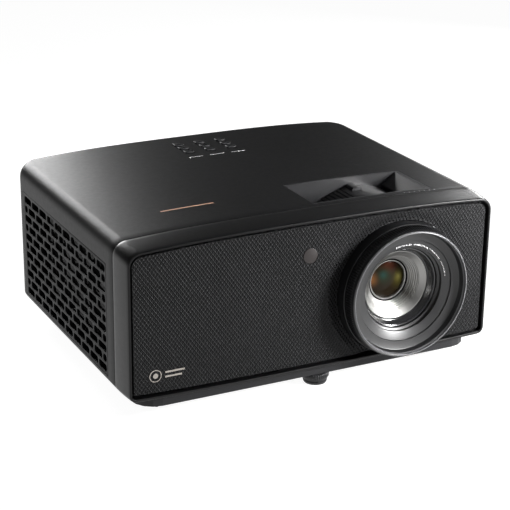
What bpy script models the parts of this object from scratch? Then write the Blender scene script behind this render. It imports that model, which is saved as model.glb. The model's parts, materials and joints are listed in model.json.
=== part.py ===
"""Compact laser home projector, built as the separate pieces it comes apart into.

All sizes are millimetres in the projector's own terms: x is across (right as seen from
the front), depth d runs back from the plane of the front rim, and height h runs up from
the underside of that rim. The function at() turns these into Blender's metres, with the
origin on the ground under the middle of the whole object.
"""
import math

import bmesh
import bpy
from mathutils import Matrix, Vector

MM = 0.001

# Case, outer sizes
RIM_HALF_WIDTH = 168.5        # front rim, half its width
RIM_HEIGHT = 132.4            # front rim, underside to top
BODY_DEPTH = 266.0            # front rim to the back wall
FLARE = 1.9                   # how much the case grows from the rim to the seam, each side
SEAM_DEPTH = 27.0             # the bezel ends and the cover begins
CROWN = 4.8                   # fall of the top at the sides
BELLY = 2.2                   # rise of the underside at the sides
CORNER_RADIUS = 12.0          # long top edges
UNDER_RADIUS = 6.0            # long bottom edges
PLAN_RADIUS = 18.0            # rear corners seen from above
REAR_EDGE_RADIUS = 4.0        # rear top and bottom edges
PARTING_HEIGHT = 6.0          # where cover and tray meet
WALL = 2.5
RIM_WALL = 2.2
GAP = 0.3                     # between pieces that touch
RIM_CHAMFER = 0.8

# Underside
GROUND_DROP = 18.4            # rim underside to the ground
PLINTH_DROP = 7.5             # rim underside to the plinth's face
PLINTH_HALF_WIDTH = RIM_HALF_WIDTH - 10.0
PLINTH_FRONT = 4.0
PLINTH_BACK_INSET = 10.0
PLINTH_RADIUS = 20.0
PLINTH_WALL = 5.0
FLOOR_THICKNESS = 2.5
BOSS_RADIUS = 7.0
BOSS_HEIGHT = 1.0
BOSS_HOLE_RADIUS = 1.7
BOSS_X = 105.0
BOSS_DEPTHS = (75.0, BODY_DEPTH - 61.0)
PEG_RADIUS = 2.4
PEG_X = RIM_HALF_WIDTH - 29.5
PEG_DEPTH = 16.0
PEG_DROP = 13.0
SCREW_X = RIM_HALF_WIDTH - 40.5
SCREW_DEPTHS = (52.0, BODY_DEPTH - 22.0)
SCREW_HEAD_RADIUS = 3.2
SCREW_SHANK_RADIUS = 1.6

# Feet
FRONT_FOOT_X = 7.0
FRONT_FOOT_DEPTH = 14.0
FOOT_RADIUS = 12.0
STUD_RADIUS = 4.0
STUD_TOP = 8.0
STUD_CLEARANCE = 0.4
REAR_FOOT_X = RIM_HALF_WIDTH - 36.5
REAR_FOOT_INSET = 42.0
REAR_FOOT_RADIUS = 9.0

# Front panel
PANEL_INSET = 4.8
PANEL_FRONT = 2.0
FLANGE_DEPTH = 6.0
FLANGE_THICKNESS = 2.5
FLANGE_INSET = 11.0
COLLAR_RADIUS = 58.9
DISH_RADIUS = COLLAR_RADIUS + 11.4   # the panel sinks round the lens from here
DISH_DEPTH = 8.0
DISH_WALL = 2.2
IR_LEFT_OF_LENS = 87.4
IR_BELOW_TOP = 30.9
IR_RADIUS = 6.7

# Lens, radii about its axis and depths along it
LENS_X = RIM_HALF_WIDTH - 87.8
LENS_HEIGHT = RIM_HEIGHT - 73.0
LENS_PROUD = 17.2
COLLAR_FRONT_RADIUS = COLLAR_RADIUS - 0.7
COLLAR_FRONT = -4.0
COLLAR_BACK = 12.0
SLEEVE_OUTER = COLLAR_RADIUS - 8.7
SLEEVE_INNER = SLEEVE_OUTER - 3.2
SLEEVE_BACK = 14.0
RIB_FRONT_RADIUS = COLLAR_RADIUS - 2.7
LIP_RADIUS = COLLAR_RADIUS - 3.65
LIP_INNER = COLLAR_RADIUS - 4.7
HOOD_WALL_RADIUS = COLLAR_RADIUS - 6.9
HOOD_WALL_DEPTH = -9.6
HOOD_FLOOR_RADIUS = SLEEVE_INNER - 1.7
HOOD_FLOOR_DEPTH = -8.2
RUN_CLEARANCE = 0.4
MARK_RING_INNER = SLEEVE_INNER - 9.0
MARK_RING_DEPTH = -4.0
BARREL_OUTER = SLEEVE_INNER - 7.0
BARREL_BORE = BARREL_OUTER - 4.0
BARREL_FRONT = 24.3
BARREL_BACK = 126.7
BARREL_FLANGE_HALF = BARREL_OUTER + 10.0
BARREL_FLANGE_THICKNESS = 6.0
FOCUS_CELL_BACK = 34.0
FOCUS_CELL_FRONT = 2.0
TRIM_RADIUS = BARREL_BORE - 5.0
TRIM_FRONT = 8.0
GLASS_RADIUS = TRIM_RADIUS * 0.6
GLASS_FRONT = 25.0
LENS_STEPS = 36

# Zoom
ZOOM_FRONT = 37.0
ZOOM_BACK = 86.4
ZOOM_RING_RADIUS = BARREL_OUTER + 6.0
ZOOM_DIAL_BELOW_TOP = 8.9     # the dial's crest under the case's top
ZOOM_DIAL_THICKNESS = 3.0
ZOOM_DIAL_ANGLES = (35.0, 147.0)
ZOOM_KNOB_ANGLE = 92.5
ZOOM_KNOB_PROUD = 2.5
ZOOM_KNOB_DEPTHS = (74.0, 85.0)
ZOOM_KNOB_HALF_WIDTH = 5.0
ZOOM_CELL_DEPTHS = (58.0, 80.0)
ZOOM_CELL_BORE = BARREL_BORE - 6.0

# Zoom well in the cover
WELL_X = (LENS_X - 68.7, LENS_X + 47.7)
WELL_DEPTHS = (33.0, 89.4)
WELL_WALL = 2.2
WELL_LEFT_BEVEL = 3.0
WELL_HEIGHT = 22.0
WELL_SLOPE = 0.796
WELL_SLOPE_END_X = LENS_X + 31.8

# Keypad
KEY_COLUMNS = (-20.5, 0.9, 22.3)
KEY_DEPTHS = (BODY_DEPTH - 53.0, BODY_DEPTH - 41.0, BODY_DEPTH - 29.0)
KEY_SIZE = (9.4, 7.0)
KEY_PROUD = 1.2
KEY_CLEARANCE = 0.4
KEY_FLANGE_EXTRA = 1.2
KEY_FLANGE_THICKNESS = 1.0
KEY_STEM_LENGTH = 5.0
KEY_TRAVEL_ROOM = 1.2
KEY_NAMES = (
    ("key_left", "key_down", "key_right"),
    ("key_source", "key_enter", "key_back"),
    ("key_power", "key_up", "key_menu"),
)
LIGHT_BAR_LENGTH = 14.2
LIGHT_BAR_WIDTH = 1.4
LIGHT_BAR_DEPTH = BODY_DEPTH - 69.2

# Side vents
VENT_DEPTHS = (42.0, BODY_DEPTH - 21.0)
VENT_HEIGHTS = (8.5, RIM_HEIGHT - 24.9)
SLOT_FIRST_DEPTH = 44.6
SLOT_PITCH = 39.5
SLOT_LENGTH = 36.95
SLOT_ROW_PITCH = 8.73
SLOT_HEIGHT = 6.2
SLOT_FIRST_HEIGHT = 14.3

# Rear panel and its sockets
REAR_WINDOW_X = RIM_HALF_WIDTH - 28.5
REAR_WINDOW_HEIGHTS = (20.0, RIM_HEIGHT - 34.4)
BOARD_HEIGHT = 46.0
BOARD_THICKNESS = 1.6
SOCKET_LENGTH = 18.0
SOCKETS = (
    # name, place from the window's left edge, outer width and height, mouth width and height
    ("hdmi_port_1", 32.0, 18.0, 8.0, 15.0, 5.4),
    ("hdmi_port_2", 57.0, 18.0, 8.0, 15.0, 5.4),
    ("usb_port", 80.0, 15.5, 8.4, 12.6, 5.2),
    ("lan_port", 104.0, 16.0, 14.0, 12.0, 8.4),
)
SOCKET_BACK_WALL = 3.0
INLET_X = REAR_WINDOW_X - 28.0
INLET_WIDTH = 31.0
INLET_HEIGHT = 24.0
INLET_LOW = 26.0
INLET_LENGTH = 24.0
INLET_MOUTH = (24.0, 16.5, 17.0)   # width, height, depth
INLET_PINS = ((-7.0, -2.0), (0.0, 2.0), (7.0, -2.0))
INLET_PIN_SIZE = (2.0, 5.0)
INLET_PIN_DEPTHS = (19.0, 4.0)     # in from the mouth
JACK_PLACE = 126.0
JACK_RADIUS = 4.0
JACK_BORE = 1.8
JACK_LENGTH = 14.0
JACK_BORE_DEPTH = 12.0

# Inside
FAN_SIZE = (BODY_DEPTH - 106.0) / 2
FAN_THICKNESS = 25.0
FAN_X = -RIM_HALF_WIDTH + 11.5
FAN_DEPTHS = (42.0 + FAN_SIZE / 2, 51.0 + FAN_SIZE * 1.5)
FAN_HEIGHT = 58.0
FAN_BORE = FAN_SIZE / 2 - 2.5
FAN_HUB = FAN_SIZE * 0.2125
FAN_BLADE_RADIUS = FAN_BORE - 1.5
FAN_BLADES = 7
FAN_FRAME_STRUT = 6.0
FAN_STRUT_THICKNESS = 3.0
FAN_ROTOR_ROOM = (2.0, 4.0)   # to the frame's face and to its struts' face
FAN_BLADE_TWIST = 38.0
ENGINE_X = (LENS_X - 54.7, LENS_X + 57.3)
ENGINE_DEPTHS = (BARREL_BACK + GAP, BODY_DEPTH - 62.0)
ENGINE_TOP = 105.0
ENGINE_WALL = 4.0
SINK_BASE = 5.0
SINK_FINS = 9
SINK_FIN_THICKNESS = 2.0
DMD_BOARD_SIZE = (76.0, 64.0)
DMD_SINK_SIZE = (68.0, 60.0)
DMD_SINK_REACH = 27.0
LASER_X = (-46.0, 2.0)
LASER_DEPTHS = (BODY_DEPTH - 138.0, BODY_DEPTH - 88.0)
LASER_TOP = 82.0
LASER_SINK_REACH = 75.0
LASER_SINK_TOP = 88.0
WHEEL_DEPTH = BODY_DEPTH - 101.0
WHEEL_HEIGHT = 48.0
WHEEL_RADIUS = 27.0
WHEEL_THICKNESS = 1.2
MOTOR_RADIUS = 11.0
MOTOR_LENGTH = 6.7
MOTOR_SHAFT_RADIUS = 3.0
MOTOR_SHAFT_LENGTH = 3.0
WHEEL_GAP = 0.5
MAIN_BOARD_X = (-REAR_WINDOW_X + 14.0, 2.0)
MAIN_BOARD_FRONT = BODY_DEPTH - 80.0
SPREADER_X = (-80.0, -40.0)
SPREADER_DEPTHS = (BODY_DEPTH - 70.0, BODY_DEPTH - 34.0)
SPREADER_THICKNESS = 10.4
SUPPLY_X = (FAN_X + FAN_THICKNESS + 11.0, -20.0)
SUPPLY_DEPTHS = (34.0, LASER_DEPTHS[0] - 10.0)
SUPPLY_BOARD_THICKNESS = 2.0
SPEAKER_X = (RIM_HALF_WIDTH - 42.5, RIM_HALF_WIDTH - 8.5)
SPEAKER_DEPTHS = (BODY_DEPTH - 60.0, BODY_DEPTH - 26.0)
SPEAKER_HEIGHTS = (62.0, 112.0)
SPEAKER_MOUTH_RADIUS = 14.0
SPEAKER_CONE_RADIUS = 5.0

FRONT_Y = LENS_PROUD - (BODY_DEPTH + LENS_PROUD) / 2
BODY_TOP = RIM_HEIGHT + FLARE
BODY_HALF_WIDTH = RIM_HALF_WIDTH + FLARE
FLOOR_HEIGHT = FLOOR_THICKNESS - PLINTH_DROP
BASE_HEIGHT = FLOOR_HEIGHT + GAP
IR_X = LENS_X - IR_LEFT_OF_LENS
IR_HEIGHT = RIM_HEIGHT - IR_BELOW_TOP
ZOOM_DIAL_RADIUS = BODY_TOP - ZOOM_DIAL_BELOW_TOP - LENS_HEIGHT
ZOOM_KNOB_RADIUS = ZOOM_DIAL_RADIUS + ZOOM_KNOB_PROUD
WELL_BOTTOM_HEIGHT = BODY_TOP - WELL_HEIGHT
SLOTS_IN_ROW = int((VENT_DEPTHS[1] - VENT_DEPTHS[0]) / SLOT_PITCH)
SLOT_ROWS = int((VENT_HEIGHTS[1] - SLOT_FIRST_HEIGHT) / SLOT_ROW_PITCH) + 1


def at(x, d, h):
    """World position in metres of a point given across, back and up in millimetres."""
    return Vector((x, d + FRONT_Y, h + GROUND_DROP)) * MM


def lens_point(radius, degrees, d):
    """World position of a point about the lens axis."""
    angle = math.radians(degrees)
    return at(LENS_X + radius * math.cos(angle), d, LENS_HEIGHT + radius * math.sin(angle))


# ---------------------------------------------------------------- scene and materials

for old in list(bpy.data.objects):
    bpy.data.objects.remove(old, do_unlink=True)

parts = bpy.data.collections.new("home_projector")
bpy.context.scene.collection.children.link(parts)


def material(name, colour, roughness, metallic=0.0):
    """A Principled material."""
    made = bpy.data.materials.new(name)
    made.use_nodes = True
    shader = made.node_tree.nodes["Principled BSDF"]
    shader.inputs["Base Color"].default_value = (*colour, 1.0)
    shader.inputs["Roughness"].default_value = roughness
    shader.inputs["Metallic"].default_value = metallic
    made.diffuse_color = (*colour, 1.0)
    return made


def finish(name, mesh, colour, roughness=0.5, metallic=0.0, origin=None, flat=False):
    """Turn a mesh in world metres into a named part with its own material."""
    if not flat:
        mesh.shade_smooth()
        mesh.set_sharp_from_angle(angle=math.radians(32))
    mesh.name = name
    mesh.materials.clear()
    mesh.materials.append(material(name, colour, roughness, metallic))
    part = bpy.data.objects.new(name, mesh)
    if origin is not None:
        mesh.transform(Matrix.Translation(-origin))
        part.location = origin
    parts.objects.link(part)
    return part


# ---------------------------------------------------------------- shapes

def evaluated(mesh, add_modifiers):
    """The mesh after modifiers, with its faces pointing out."""
    holder = bpy.data.objects.new("work", mesh)
    bpy.context.scene.collection.objects.link(holder)
    add_modifiers(holder)
    graph = bpy.context.evaluated_depsgraph_get()
    result = bpy.data.meshes.new_from_object(holder.evaluated_get(graph))
    bpy.data.objects.remove(holder, do_unlink=True)
    bpy.data.meshes.remove(mesh)
    return result


def tidy(mesh):
    """Weld coincident points and point the faces outwards."""
    work = bmesh.new()
    work.from_mesh(mesh)
    bmesh.ops.remove_doubles(work, verts=work.verts, dist=1e-6)
    bmesh.ops.recalc_face_normals(work, faces=work.faces)
    work.to_mesh(mesh)
    work.free()
    return mesh


def combine(base, tool, operation):
    """Boolean of two closed meshes, which are both used up."""
    helper = bpy.data.objects.new("tool", tool)
    bpy.context.scene.collection.objects.link(helper)

    def add(holder):
        change = holder.modifiers.new("change", "BOOLEAN")
        change.operation = operation
        change.solver = "EXACT"
        change.object = helper

    result = evaluated(base, add)
    bpy.data.objects.remove(helper, do_unlink=True)
    bpy.data.meshes.remove(tool)
    return result


def cut(base, *tools):
    for tool in tools:
        base = combine(base, tool, "DIFFERENCE")
    return base


def join(base, *others):
    for other in others:
        base = combine(base, other, "UNION")
    return base


def box(x_range, d_range, h_range, bevel=0.0, segments=1):
    """A box between two values on each axis, with rounded edges if asked."""
    low = at(x_range[0], d_range[0], h_range[0])
    high = at(x_range[1], d_range[1], h_range[1])
    work = bmesh.new()
    bmesh.ops.create_cube(work, size=1.0)
    size = high - low
    bmesh.ops.scale(work, vec=size, verts=work.verts)
    bmesh.ops.translate(work, vec=(low + high) / 2, verts=work.verts)
    if bevel:
        bmesh.ops.bevel(work, geom=work.edges[:], offset=bevel * MM, segments=segments,
                        profile=0.5, affect="EDGES")
    mesh = bpy.data.meshes.new("box")
    work.to_mesh(mesh)
    work.free()
    return mesh


def prism(points, start, end, place=at):
    """A flat outline of (a, b) points pushed from start to end along the third axis.

    place(a, s, b) gives the world point, so that the default pushes front to back.
    """
    work = bmesh.new()
    near = [work.verts.new(place(a, start, b)) for a, b in points]
    work.faces.new(near)
    pushed = bmesh.ops.extrude_face_region(work, geom=work.faces[:])
    moved = [item for item in pushed["geom"] if isinstance(item, bmesh.types.BMVert)]
    shift = place(0, end, 0) - place(0, start, 0)
    bmesh.ops.translate(work, vec=shift, verts=moved)
    mesh = bpy.data.meshes.new("prism")
    work.to_mesh(mesh)
    work.free()
    return tidy(mesh)


def upright(x, h, d):
    """Places a plan outline (x, d), pushed in height."""
    return at(x, d, h)


def turned(profile, matrix, steps=LENS_STEPS):
    """A solid of revolution from (radius, along) points, turned about the matrix's Z."""
    closed = profile[0][0] > 0 and profile[-1][0] > 0
    mesh = bpy.data.meshes.new("turned")
    points = [(radius * MM, 0.0, along * MM) for radius, along in profile]
    edges = [(index, index + 1) for index in range(len(points) - 1)]
    if closed:
        edges.append((len(points) - 1, 0))
    mesh.from_pydata(points, edges, [])

    def add(holder):
        screw = holder.modifiers.new("turn", "SCREW")
        screw.axis = "Z"
        screw.angle = math.tau
        screw.steps = steps
        screw.render_steps = steps
        screw.use_merge_vertices = True
        screw.merge_threshold = 1e-6

    result = evaluated(mesh, add)
    result.transform(matrix)
    return tidy(result)


def facing_back(x, h):
    """Matrix for a turned piece whose along is depth d, about the line at x and h."""
    return Matrix.Translation(at(x, 0, h)) @ Matrix.Rotation(-math.pi / 2, 4, "X")


def facing_up(x, d):
    """Matrix for a turned piece whose along is height h, about the line at x and d."""
    return Matrix.Translation(at(x, d, 0))


def facing_right(d, h):
    """Matrix for a turned piece whose along is x, about the line at d and h."""
    return Matrix.Translation(at(0, d, h)) @ Matrix.Rotation(math.pi / 2, 4, "Y")


LENS_AXIS = facing_back(LENS_X, LENS_HEIGHT)


def rod(radius, start, end, matrix, steps=24):
    """A plain round bar."""
    return turned([(0, end), (radius, end), (radius, start), (0, start)], matrix, steps)


def rounded_rectangle(x_half, d_range, radius, steps=4):
    """Plan outline of a plate with round corners, as (x, d) points."""
    points = []
    corners = (
        (x_half - radius, d_range[1] - radius, 0),
        (-x_half + radius, d_range[1] - radius, 90),
        (-x_half + radius, d_range[0] + radius, 180),
        (x_half - radius, d_range[0] + radius, 270),
    )
    for centre_x, centre_d, first in corners:
        for step in range(steps + 1):
            angle = math.radians(first + 90 * step / steps)
            points.append((centre_x + radius * math.cos(angle),
                           centre_d + radius * math.sin(angle)))
    return points


# ---------------------------------------------------------------- the case's outer form

def section_sizes(d, inset):
    """Half width, underside and top of the case at a depth, this far inside its skin."""
    along_flare = min(max(d / SEAM_DEPTH, 0.0), 1.0)
    flare = FLARE * (1 - (1 - along_flare) ** 2)
    half_width = RIM_HALF_WIDTH + flare - inset
    top = RIM_HEIGHT + flare - inset
    bottom = inset
    bend_start = BODY_DEPTH - PLAN_RADIUS
    if d > bend_start:
        share = min((d - bend_start) / (PLAN_RADIUS - inset), 1.0)
        fall = 1 - math.sqrt(1 - share ** 2)
        half_width -= (PLAN_RADIUS - inset) * fall
    edge_start = BODY_DEPTH - REAR_EDGE_RADIUS
    if d > edge_start:
        radius = max(REAR_EDGE_RADIUS - inset, 0.5)
        share = min((d - edge_start) / radius, 1.0)
        fall = radius * (1 - math.sqrt(1 - share ** 2))
        top -= fall
        bottom += fall
    return half_width, bottom, top


def crowned_edge(half_width, reach, sag):
    """Half of a long edge and its round corner, as (x, distance in from the edge)."""
    points = []
    for share in (0.0, 0.45, 0.7, 0.88):
        x = reach * share
        points.append((x, sag * (x / half_width) ** 3))
    radius = half_width - reach
    corner_sag = sag * (reach / half_width) ** 3
    for step in range(4):
        angle = math.radians(90 - 30 * step)
        points.append((reach + radius * math.cos(angle),
                       corner_sag + radius * (1 - math.sin(angle))))
    return points


def outline(d, inset, extra=0.0):
    """Crowned, round-cornered outline of the case at a depth, as (x, h) points."""
    half_width, bottom, top = section_sizes(d, inset + extra)
    over = half_width - max(CORNER_RADIUS - inset - extra, 1.5)
    under = half_width - max(UNDER_RADIUS - inset - extra, 1.5)
    right_top = [(x, top - fall) for x, fall in crowned_edge(half_width, over, CROWN)]
    right_bottom = [(x, bottom + rise) for x, rise in crowned_edge(half_width, under, BELLY)]
    right = right_top + right_bottom[::-1]
    left = [(-x, h) for x, h in reversed(right) if x > 0]
    return right + left


def hull(depths, inset, extra=None):
    """Closed loft through the case's outlines at the given depths."""
    extras = extra or [0.0] * len(depths)
    work = bmesh.new()
    rings = []
    for d, more in zip(depths, extras):
        rings.append([work.verts.new(at(x, d, h)) for x, h in outline(d, inset, more)])
    count = len(rings[0])
    for near, far in zip(rings, rings[1:]):
        for index in range(count):
            following = (index + 1) % count
            work.faces.new((near[index], near[following], far[following], far[index]))
    work.faces.new(rings[0])
    work.faces.new(rings[-1])
    mesh = bpy.data.meshes.new("hull")
    work.to_mesh(mesh)
    work.free()
    return tidy(mesh)


def rear_depths(inset):
    """Depths of the sections that round the rear corners, this far inside."""
    radius = PLAN_RADIUS - inset
    start = BODY_DEPTH - PLAN_RADIUS
    return [start + radius * math.sin(math.radians(angle)) for angle in (0, 28, 50, 66, 79, 90)]


def case_hull(first, inset):
    """The case from a first depth to its back wall, this far inside its skin."""
    return hull([first, *rear_depths(inset)], inset)


# ---------------------------------------------------------------- cover, tray and panels

def slot_rows():
    """Every vent slot as (first depth, last depth, height), in alternating rows."""
    last = SLOT_FIRST_DEPTH + (SLOTS_IN_ROW - 1) * SLOT_PITCH + SLOT_LENGTH
    slots = []
    for row in range(SLOT_ROWS):
        height = SLOT_FIRST_HEIGHT + row * SLOT_ROW_PITCH
        shift = -SLOT_PITCH / 2 if row % 2 else 0.0
        for column in range(SLOTS_IN_ROW + row % 2):
            start = SLOT_FIRST_DEPTH + shift + column * SLOT_PITCH
            first = max(start, SLOT_FIRST_DEPTH)
            slots.append((first, min(start + SLOT_LENGTH, last), height))
    return slots


def make_cover():
    """Top cover with its sides and back, open below and in front."""
    cover = case_hull(SEAM_DEPTH + GAP / 2, 0.0)
    cover = cut(cover, case_hull(SEAM_DEPTH - 1, WALL))
    wide = BODY_HALF_WIDTH + 10
    cover = cut(cover, box((-wide, wide), (-10, BODY_DEPTH + 10),
                           (-10, PARTING_HEIGHT + GAP / 2)))
    for side in (-1, 1):
        reach = sorted((side * (BODY_HALF_WIDTH - WALL - 3), side * wide))
        cover = cut(cover, box(reach, VENT_DEPTHS, VENT_HEIGHTS))
    cover = cut(cover, box((-REAR_WINDOW_X, REAR_WINDOW_X),
                           (BODY_DEPTH - WALL - 3, BODY_DEPTH + 5), REAR_WINDOW_HEIGHTS))
    above = (BODY_TOP - WALL - 4, BODY_TOP + 5)
    cover = cut(cover, box(WELL_X, WELL_DEPTHS, above))
    for x in KEY_COLUMNS:
        for d in KEY_DEPTHS:
            cover = cut(cover, box(around(x, KEY_SIZE[0] + 2 * KEY_CLEARANCE),
                                   around(d, KEY_SIZE[1] + 2 * KEY_CLEARANCE), above))
        cover = cut(cover, box(around(x, LIGHT_BAR_LENGTH + 2 * GAP),
                               around(LIGHT_BAR_DEPTH, LIGHT_BAR_WIDTH + 2 * GAP), above))
    finish("top_cover", cover, (0.030, 0.030, 0.032), 0.55)


def around(centre, width):
    """The range of this width about a centre."""
    return centre - width / 2, centre + width / 2


def make_tray():
    """Bottom tray: a shallow pan on a plinth, with pegs, bosses and screw holes."""
    wide = BODY_HALF_WIDTH + 10
    front = SEAM_DEPTH + GAP / 2
    tray = case_hull(front, 0.0)
    tray = cut(tray, box((-wide, wide), (-10, BODY_DEPTH + 10),
                         (PARTING_HEIGHT - GAP / 2, BODY_TOP + 10)))
    tray = cut(tray, case_hull(front + WALL, WALL))
    plinth_range = (PLINTH_FRONT, BODY_DEPTH - PLINTH_BACK_INSET)
    slab = prism(rounded_rectangle(PLINTH_HALF_WIDTH, plinth_range, PLINTH_RADIUS),
                 -PLINTH_DROP, -GAP, upright)
    inner_half = PLINTH_HALF_WIDTH - 1
    neck_range = (front + 0.4, plinth_range[1] - 1)
    neck = prism(rounded_rectangle(inner_half, neck_range, PLINTH_RADIUS),
                 -GAP - 2, WALL - 0.6, upright)
    tray = join(tray, join(slab, neck))
    pocket_range = (front + PLINTH_WALL, plinth_range[1] - PLINTH_WALL)
    pocket = prism(rounded_rectangle(PLINTH_HALF_WIDTH - PLINTH_WALL, pocket_range,
                                     PLINTH_RADIUS - PLINTH_WALL),
                   FLOOR_HEIGHT, PARTING_HEIGHT + 2, upright)
    tray = cut(tray, pocket)
    for x in (-BOSS_X, BOSS_X):
        for d in BOSS_DEPTHS:
            boss = rod(BOSS_RADIUS, -PLINTH_DROP - BOSS_HEIGHT, -PLINTH_DROP + 1,
                       facing_up(x, d), 16)
            hole = rod(BOSS_HOLE_RADIUS, -PLINTH_DROP - 5, FLOOR_HEIGHT + 3,
                       facing_up(x, d), 8)
            tray = cut(join(tray, boss), hole)
    for x in (-PEG_X, PEG_X):
        peg = turned([(0, -PLINTH_DROP + 1), (PEG_RADIUS, -PLINTH_DROP + 1),
                      (PEG_RADIUS, -PEG_DROP + 0.8), (PEG_RADIUS - 0.8, -PEG_DROP),
                      (0, -PEG_DROP)], facing_up(x, PEG_DEPTH), 10)
        tray = join(tray, peg)
    for x in (-SCREW_X, SCREW_X):
        for d in SCREW_DEPTHS:
            tray = cut(tray, rod(SCREW_SHANK_RADIUS + GAP, -PLINTH_DROP - 2,
                                 FLOOR_HEIGHT + 2, facing_up(x, d), 8))
    tray = cut(tray, rod(STUD_RADIUS + STUD_CLEARANCE, -PLINTH_DROP - 2, 2,
                         facing_up(FRONT_FOOT_X, FRONT_FOOT_DEPTH), 16))
    finish("bottom_tray", tray, (0.022, 0.022, 0.024), 0.6)


def lens_clearance(radius, d_range, low):
    """A round plug about the lens axis with its bottom cut off level."""
    plug = rod(radius, *d_range, LENS_AXIS, 60)
    below = box(around(LENS_X, 4 * radius), (d_range[0] - 1, d_range[1] + 1),
                (low - 4 * radius, low))
    return cut(plug, below)


COLLAR_REACH = LENS_X + COLLAR_RADIUS / 2
COLLAR_LOW = RIM_WALL + BELLY * (COLLAR_REACH / (RIM_HALF_WIDTH - RIM_WALL)) ** 3 + GAP


def make_bezel():
    """The frame round the front panel, with an inner flange that the panel seats on."""
    depths = [0.0, RIM_CHAMFER, 8.0, 17.0, SEAM_DEPTH - GAP / 2]
    bezel = hull(depths, 0.0, [RIM_CHAMFER, 0, 0, 0, 0])
    flange_back = FLANGE_DEPTH + FLANGE_THICKNESS
    bezel = cut(bezel, hull([-1.0, FLANGE_DEPTH], RIM_WALL))
    bezel = cut(bezel, hull([FLANGE_DEPTH - 1, flange_back + 1], FLANGE_INSET))
    bezel = cut(bezel, hull([flange_back, 17.0, SEAM_DEPTH + 1], RIM_WALL))
    dish_room = lens_clearance(DISH_RADIUS + DISH_WALL + 1.0,
                               (FLANGE_DEPTH - 1, flange_back + 1), COLLAR_LOW - GAP)
    inside_rim = hull([FLANGE_DEPTH - 2, flange_back + 2], RIM_WALL + GAP)
    bezel = cut(bezel, combine(dish_room, inside_rim, "INTERSECT"))
    bezel = cut(bezel, rod(STUD_RADIUS + STUD_CLEARANCE + 0.3, -3, RIM_WALL + 3,
                           facing_up(FRONT_FOOT_X, FRONT_FOOT_DEPTH), 16))
    finish("front_bezel", bezel, (0.035, 0.035, 0.037), 0.42)


def make_front_panel():
    """The textured panel inside the bezel, with holes for the lens and the IR window."""
    back = FLANGE_DEPTH - GAP
    panel = hull([PANEL_FRONT, back], PANEL_INSET)
    bore = COLLAR_RADIUS + 0.5
    dish_back = DISH_DEPTH + DISH_WALL
    boss = turned([(0, back - 1), (DISH_RADIUS + DISH_WALL, back - 1),
                   (DISH_RADIUS + DISH_WALL - 2, back + 1), (bore + DISH_WALL + 1, dish_back),
                   (0, dish_back)], LENS_AXIS)
    boss = combine(boss, hull([back - 2, dish_back + 1], PANEL_INSET + GAP), "INTERSECT")
    dish = turned([(0, -5), (DISH_RADIUS + 2, -5), (DISH_RADIUS + 2, PANEL_FRONT - 1),
                   (DISH_RADIUS, PANEL_FRONT), (bore, DISH_DEPTH), (bore, dish_back + 2),
                   (0, dish_back + 2)], LENS_AXIS)
    panel = cut(join(panel, boss), dish)
    window = facing_back(IR_X, IR_HEIGHT)
    panel = cut(panel, rod(IR_RADIUS + GAP, PANEL_FRONT - 3, back + 3, window))
    finish("front_panel", panel, (0.045, 0.045, 0.047), 0.5)
    disc = turned([(0, back - 0.5), (IR_RADIUS, back - 0.5), (IR_RADIUS, PANEL_FRONT + 0.2),
                   (IR_RADIUS - 0.4, PANEL_FRONT - 0.2), (0, PANEL_FRONT - 0.2)], window, 24)
    finish("ir_window", disc, (0.05, 0.02, 0.015), 0.15)
    board = box(around(IR_X, 20), (FLANGE_DEPTH + 0.5, FLANGE_DEPTH + 2.1),
                around(IR_HEIGHT, 18))
    receiver = box(around(IR_X, 7), (back - 0.2, FLANGE_DEPTH + 1), around(IR_HEIGHT, 7))
    finish("ir_board", join(board, receiver), (0.01, 0.12, 0.05), 0.5, flat=True)


def make_vents():
    """The slotted panels in the cover's sides."""
    for name, side in (("left_vent_grille", -1), ("right_vent_grille", 1)):
        outer = side * BODY_HALF_WIDTH
        inner = side * (BODY_HALF_WIDTH - WALL)
        d_range = (VENT_DEPTHS[0] + GAP, VENT_DEPTHS[1] - GAP)
        h_range = (VENT_HEIGHTS[0] + GAP, VENT_HEIGHTS[1] - GAP)
        grille = box(sorted((inner, outer)), d_range, h_range)
        holes = bmesh.new()
        reach = sorted((inner - 2 * side, outer + 2 * side))
        for first, last, height in slot_rows():
            slot = box(reach, (first, last), around(height, SLOT_HEIGHT))
            holes.from_mesh(slot)
            bpy.data.meshes.remove(slot)
        tool = bpy.data.meshes.new("slots")
        holes.to_mesh(tool)
        holes.free()
        finish(name, cut(grille, tool), (0.028, 0.028, 0.030), 0.55, flat=True)


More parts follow.
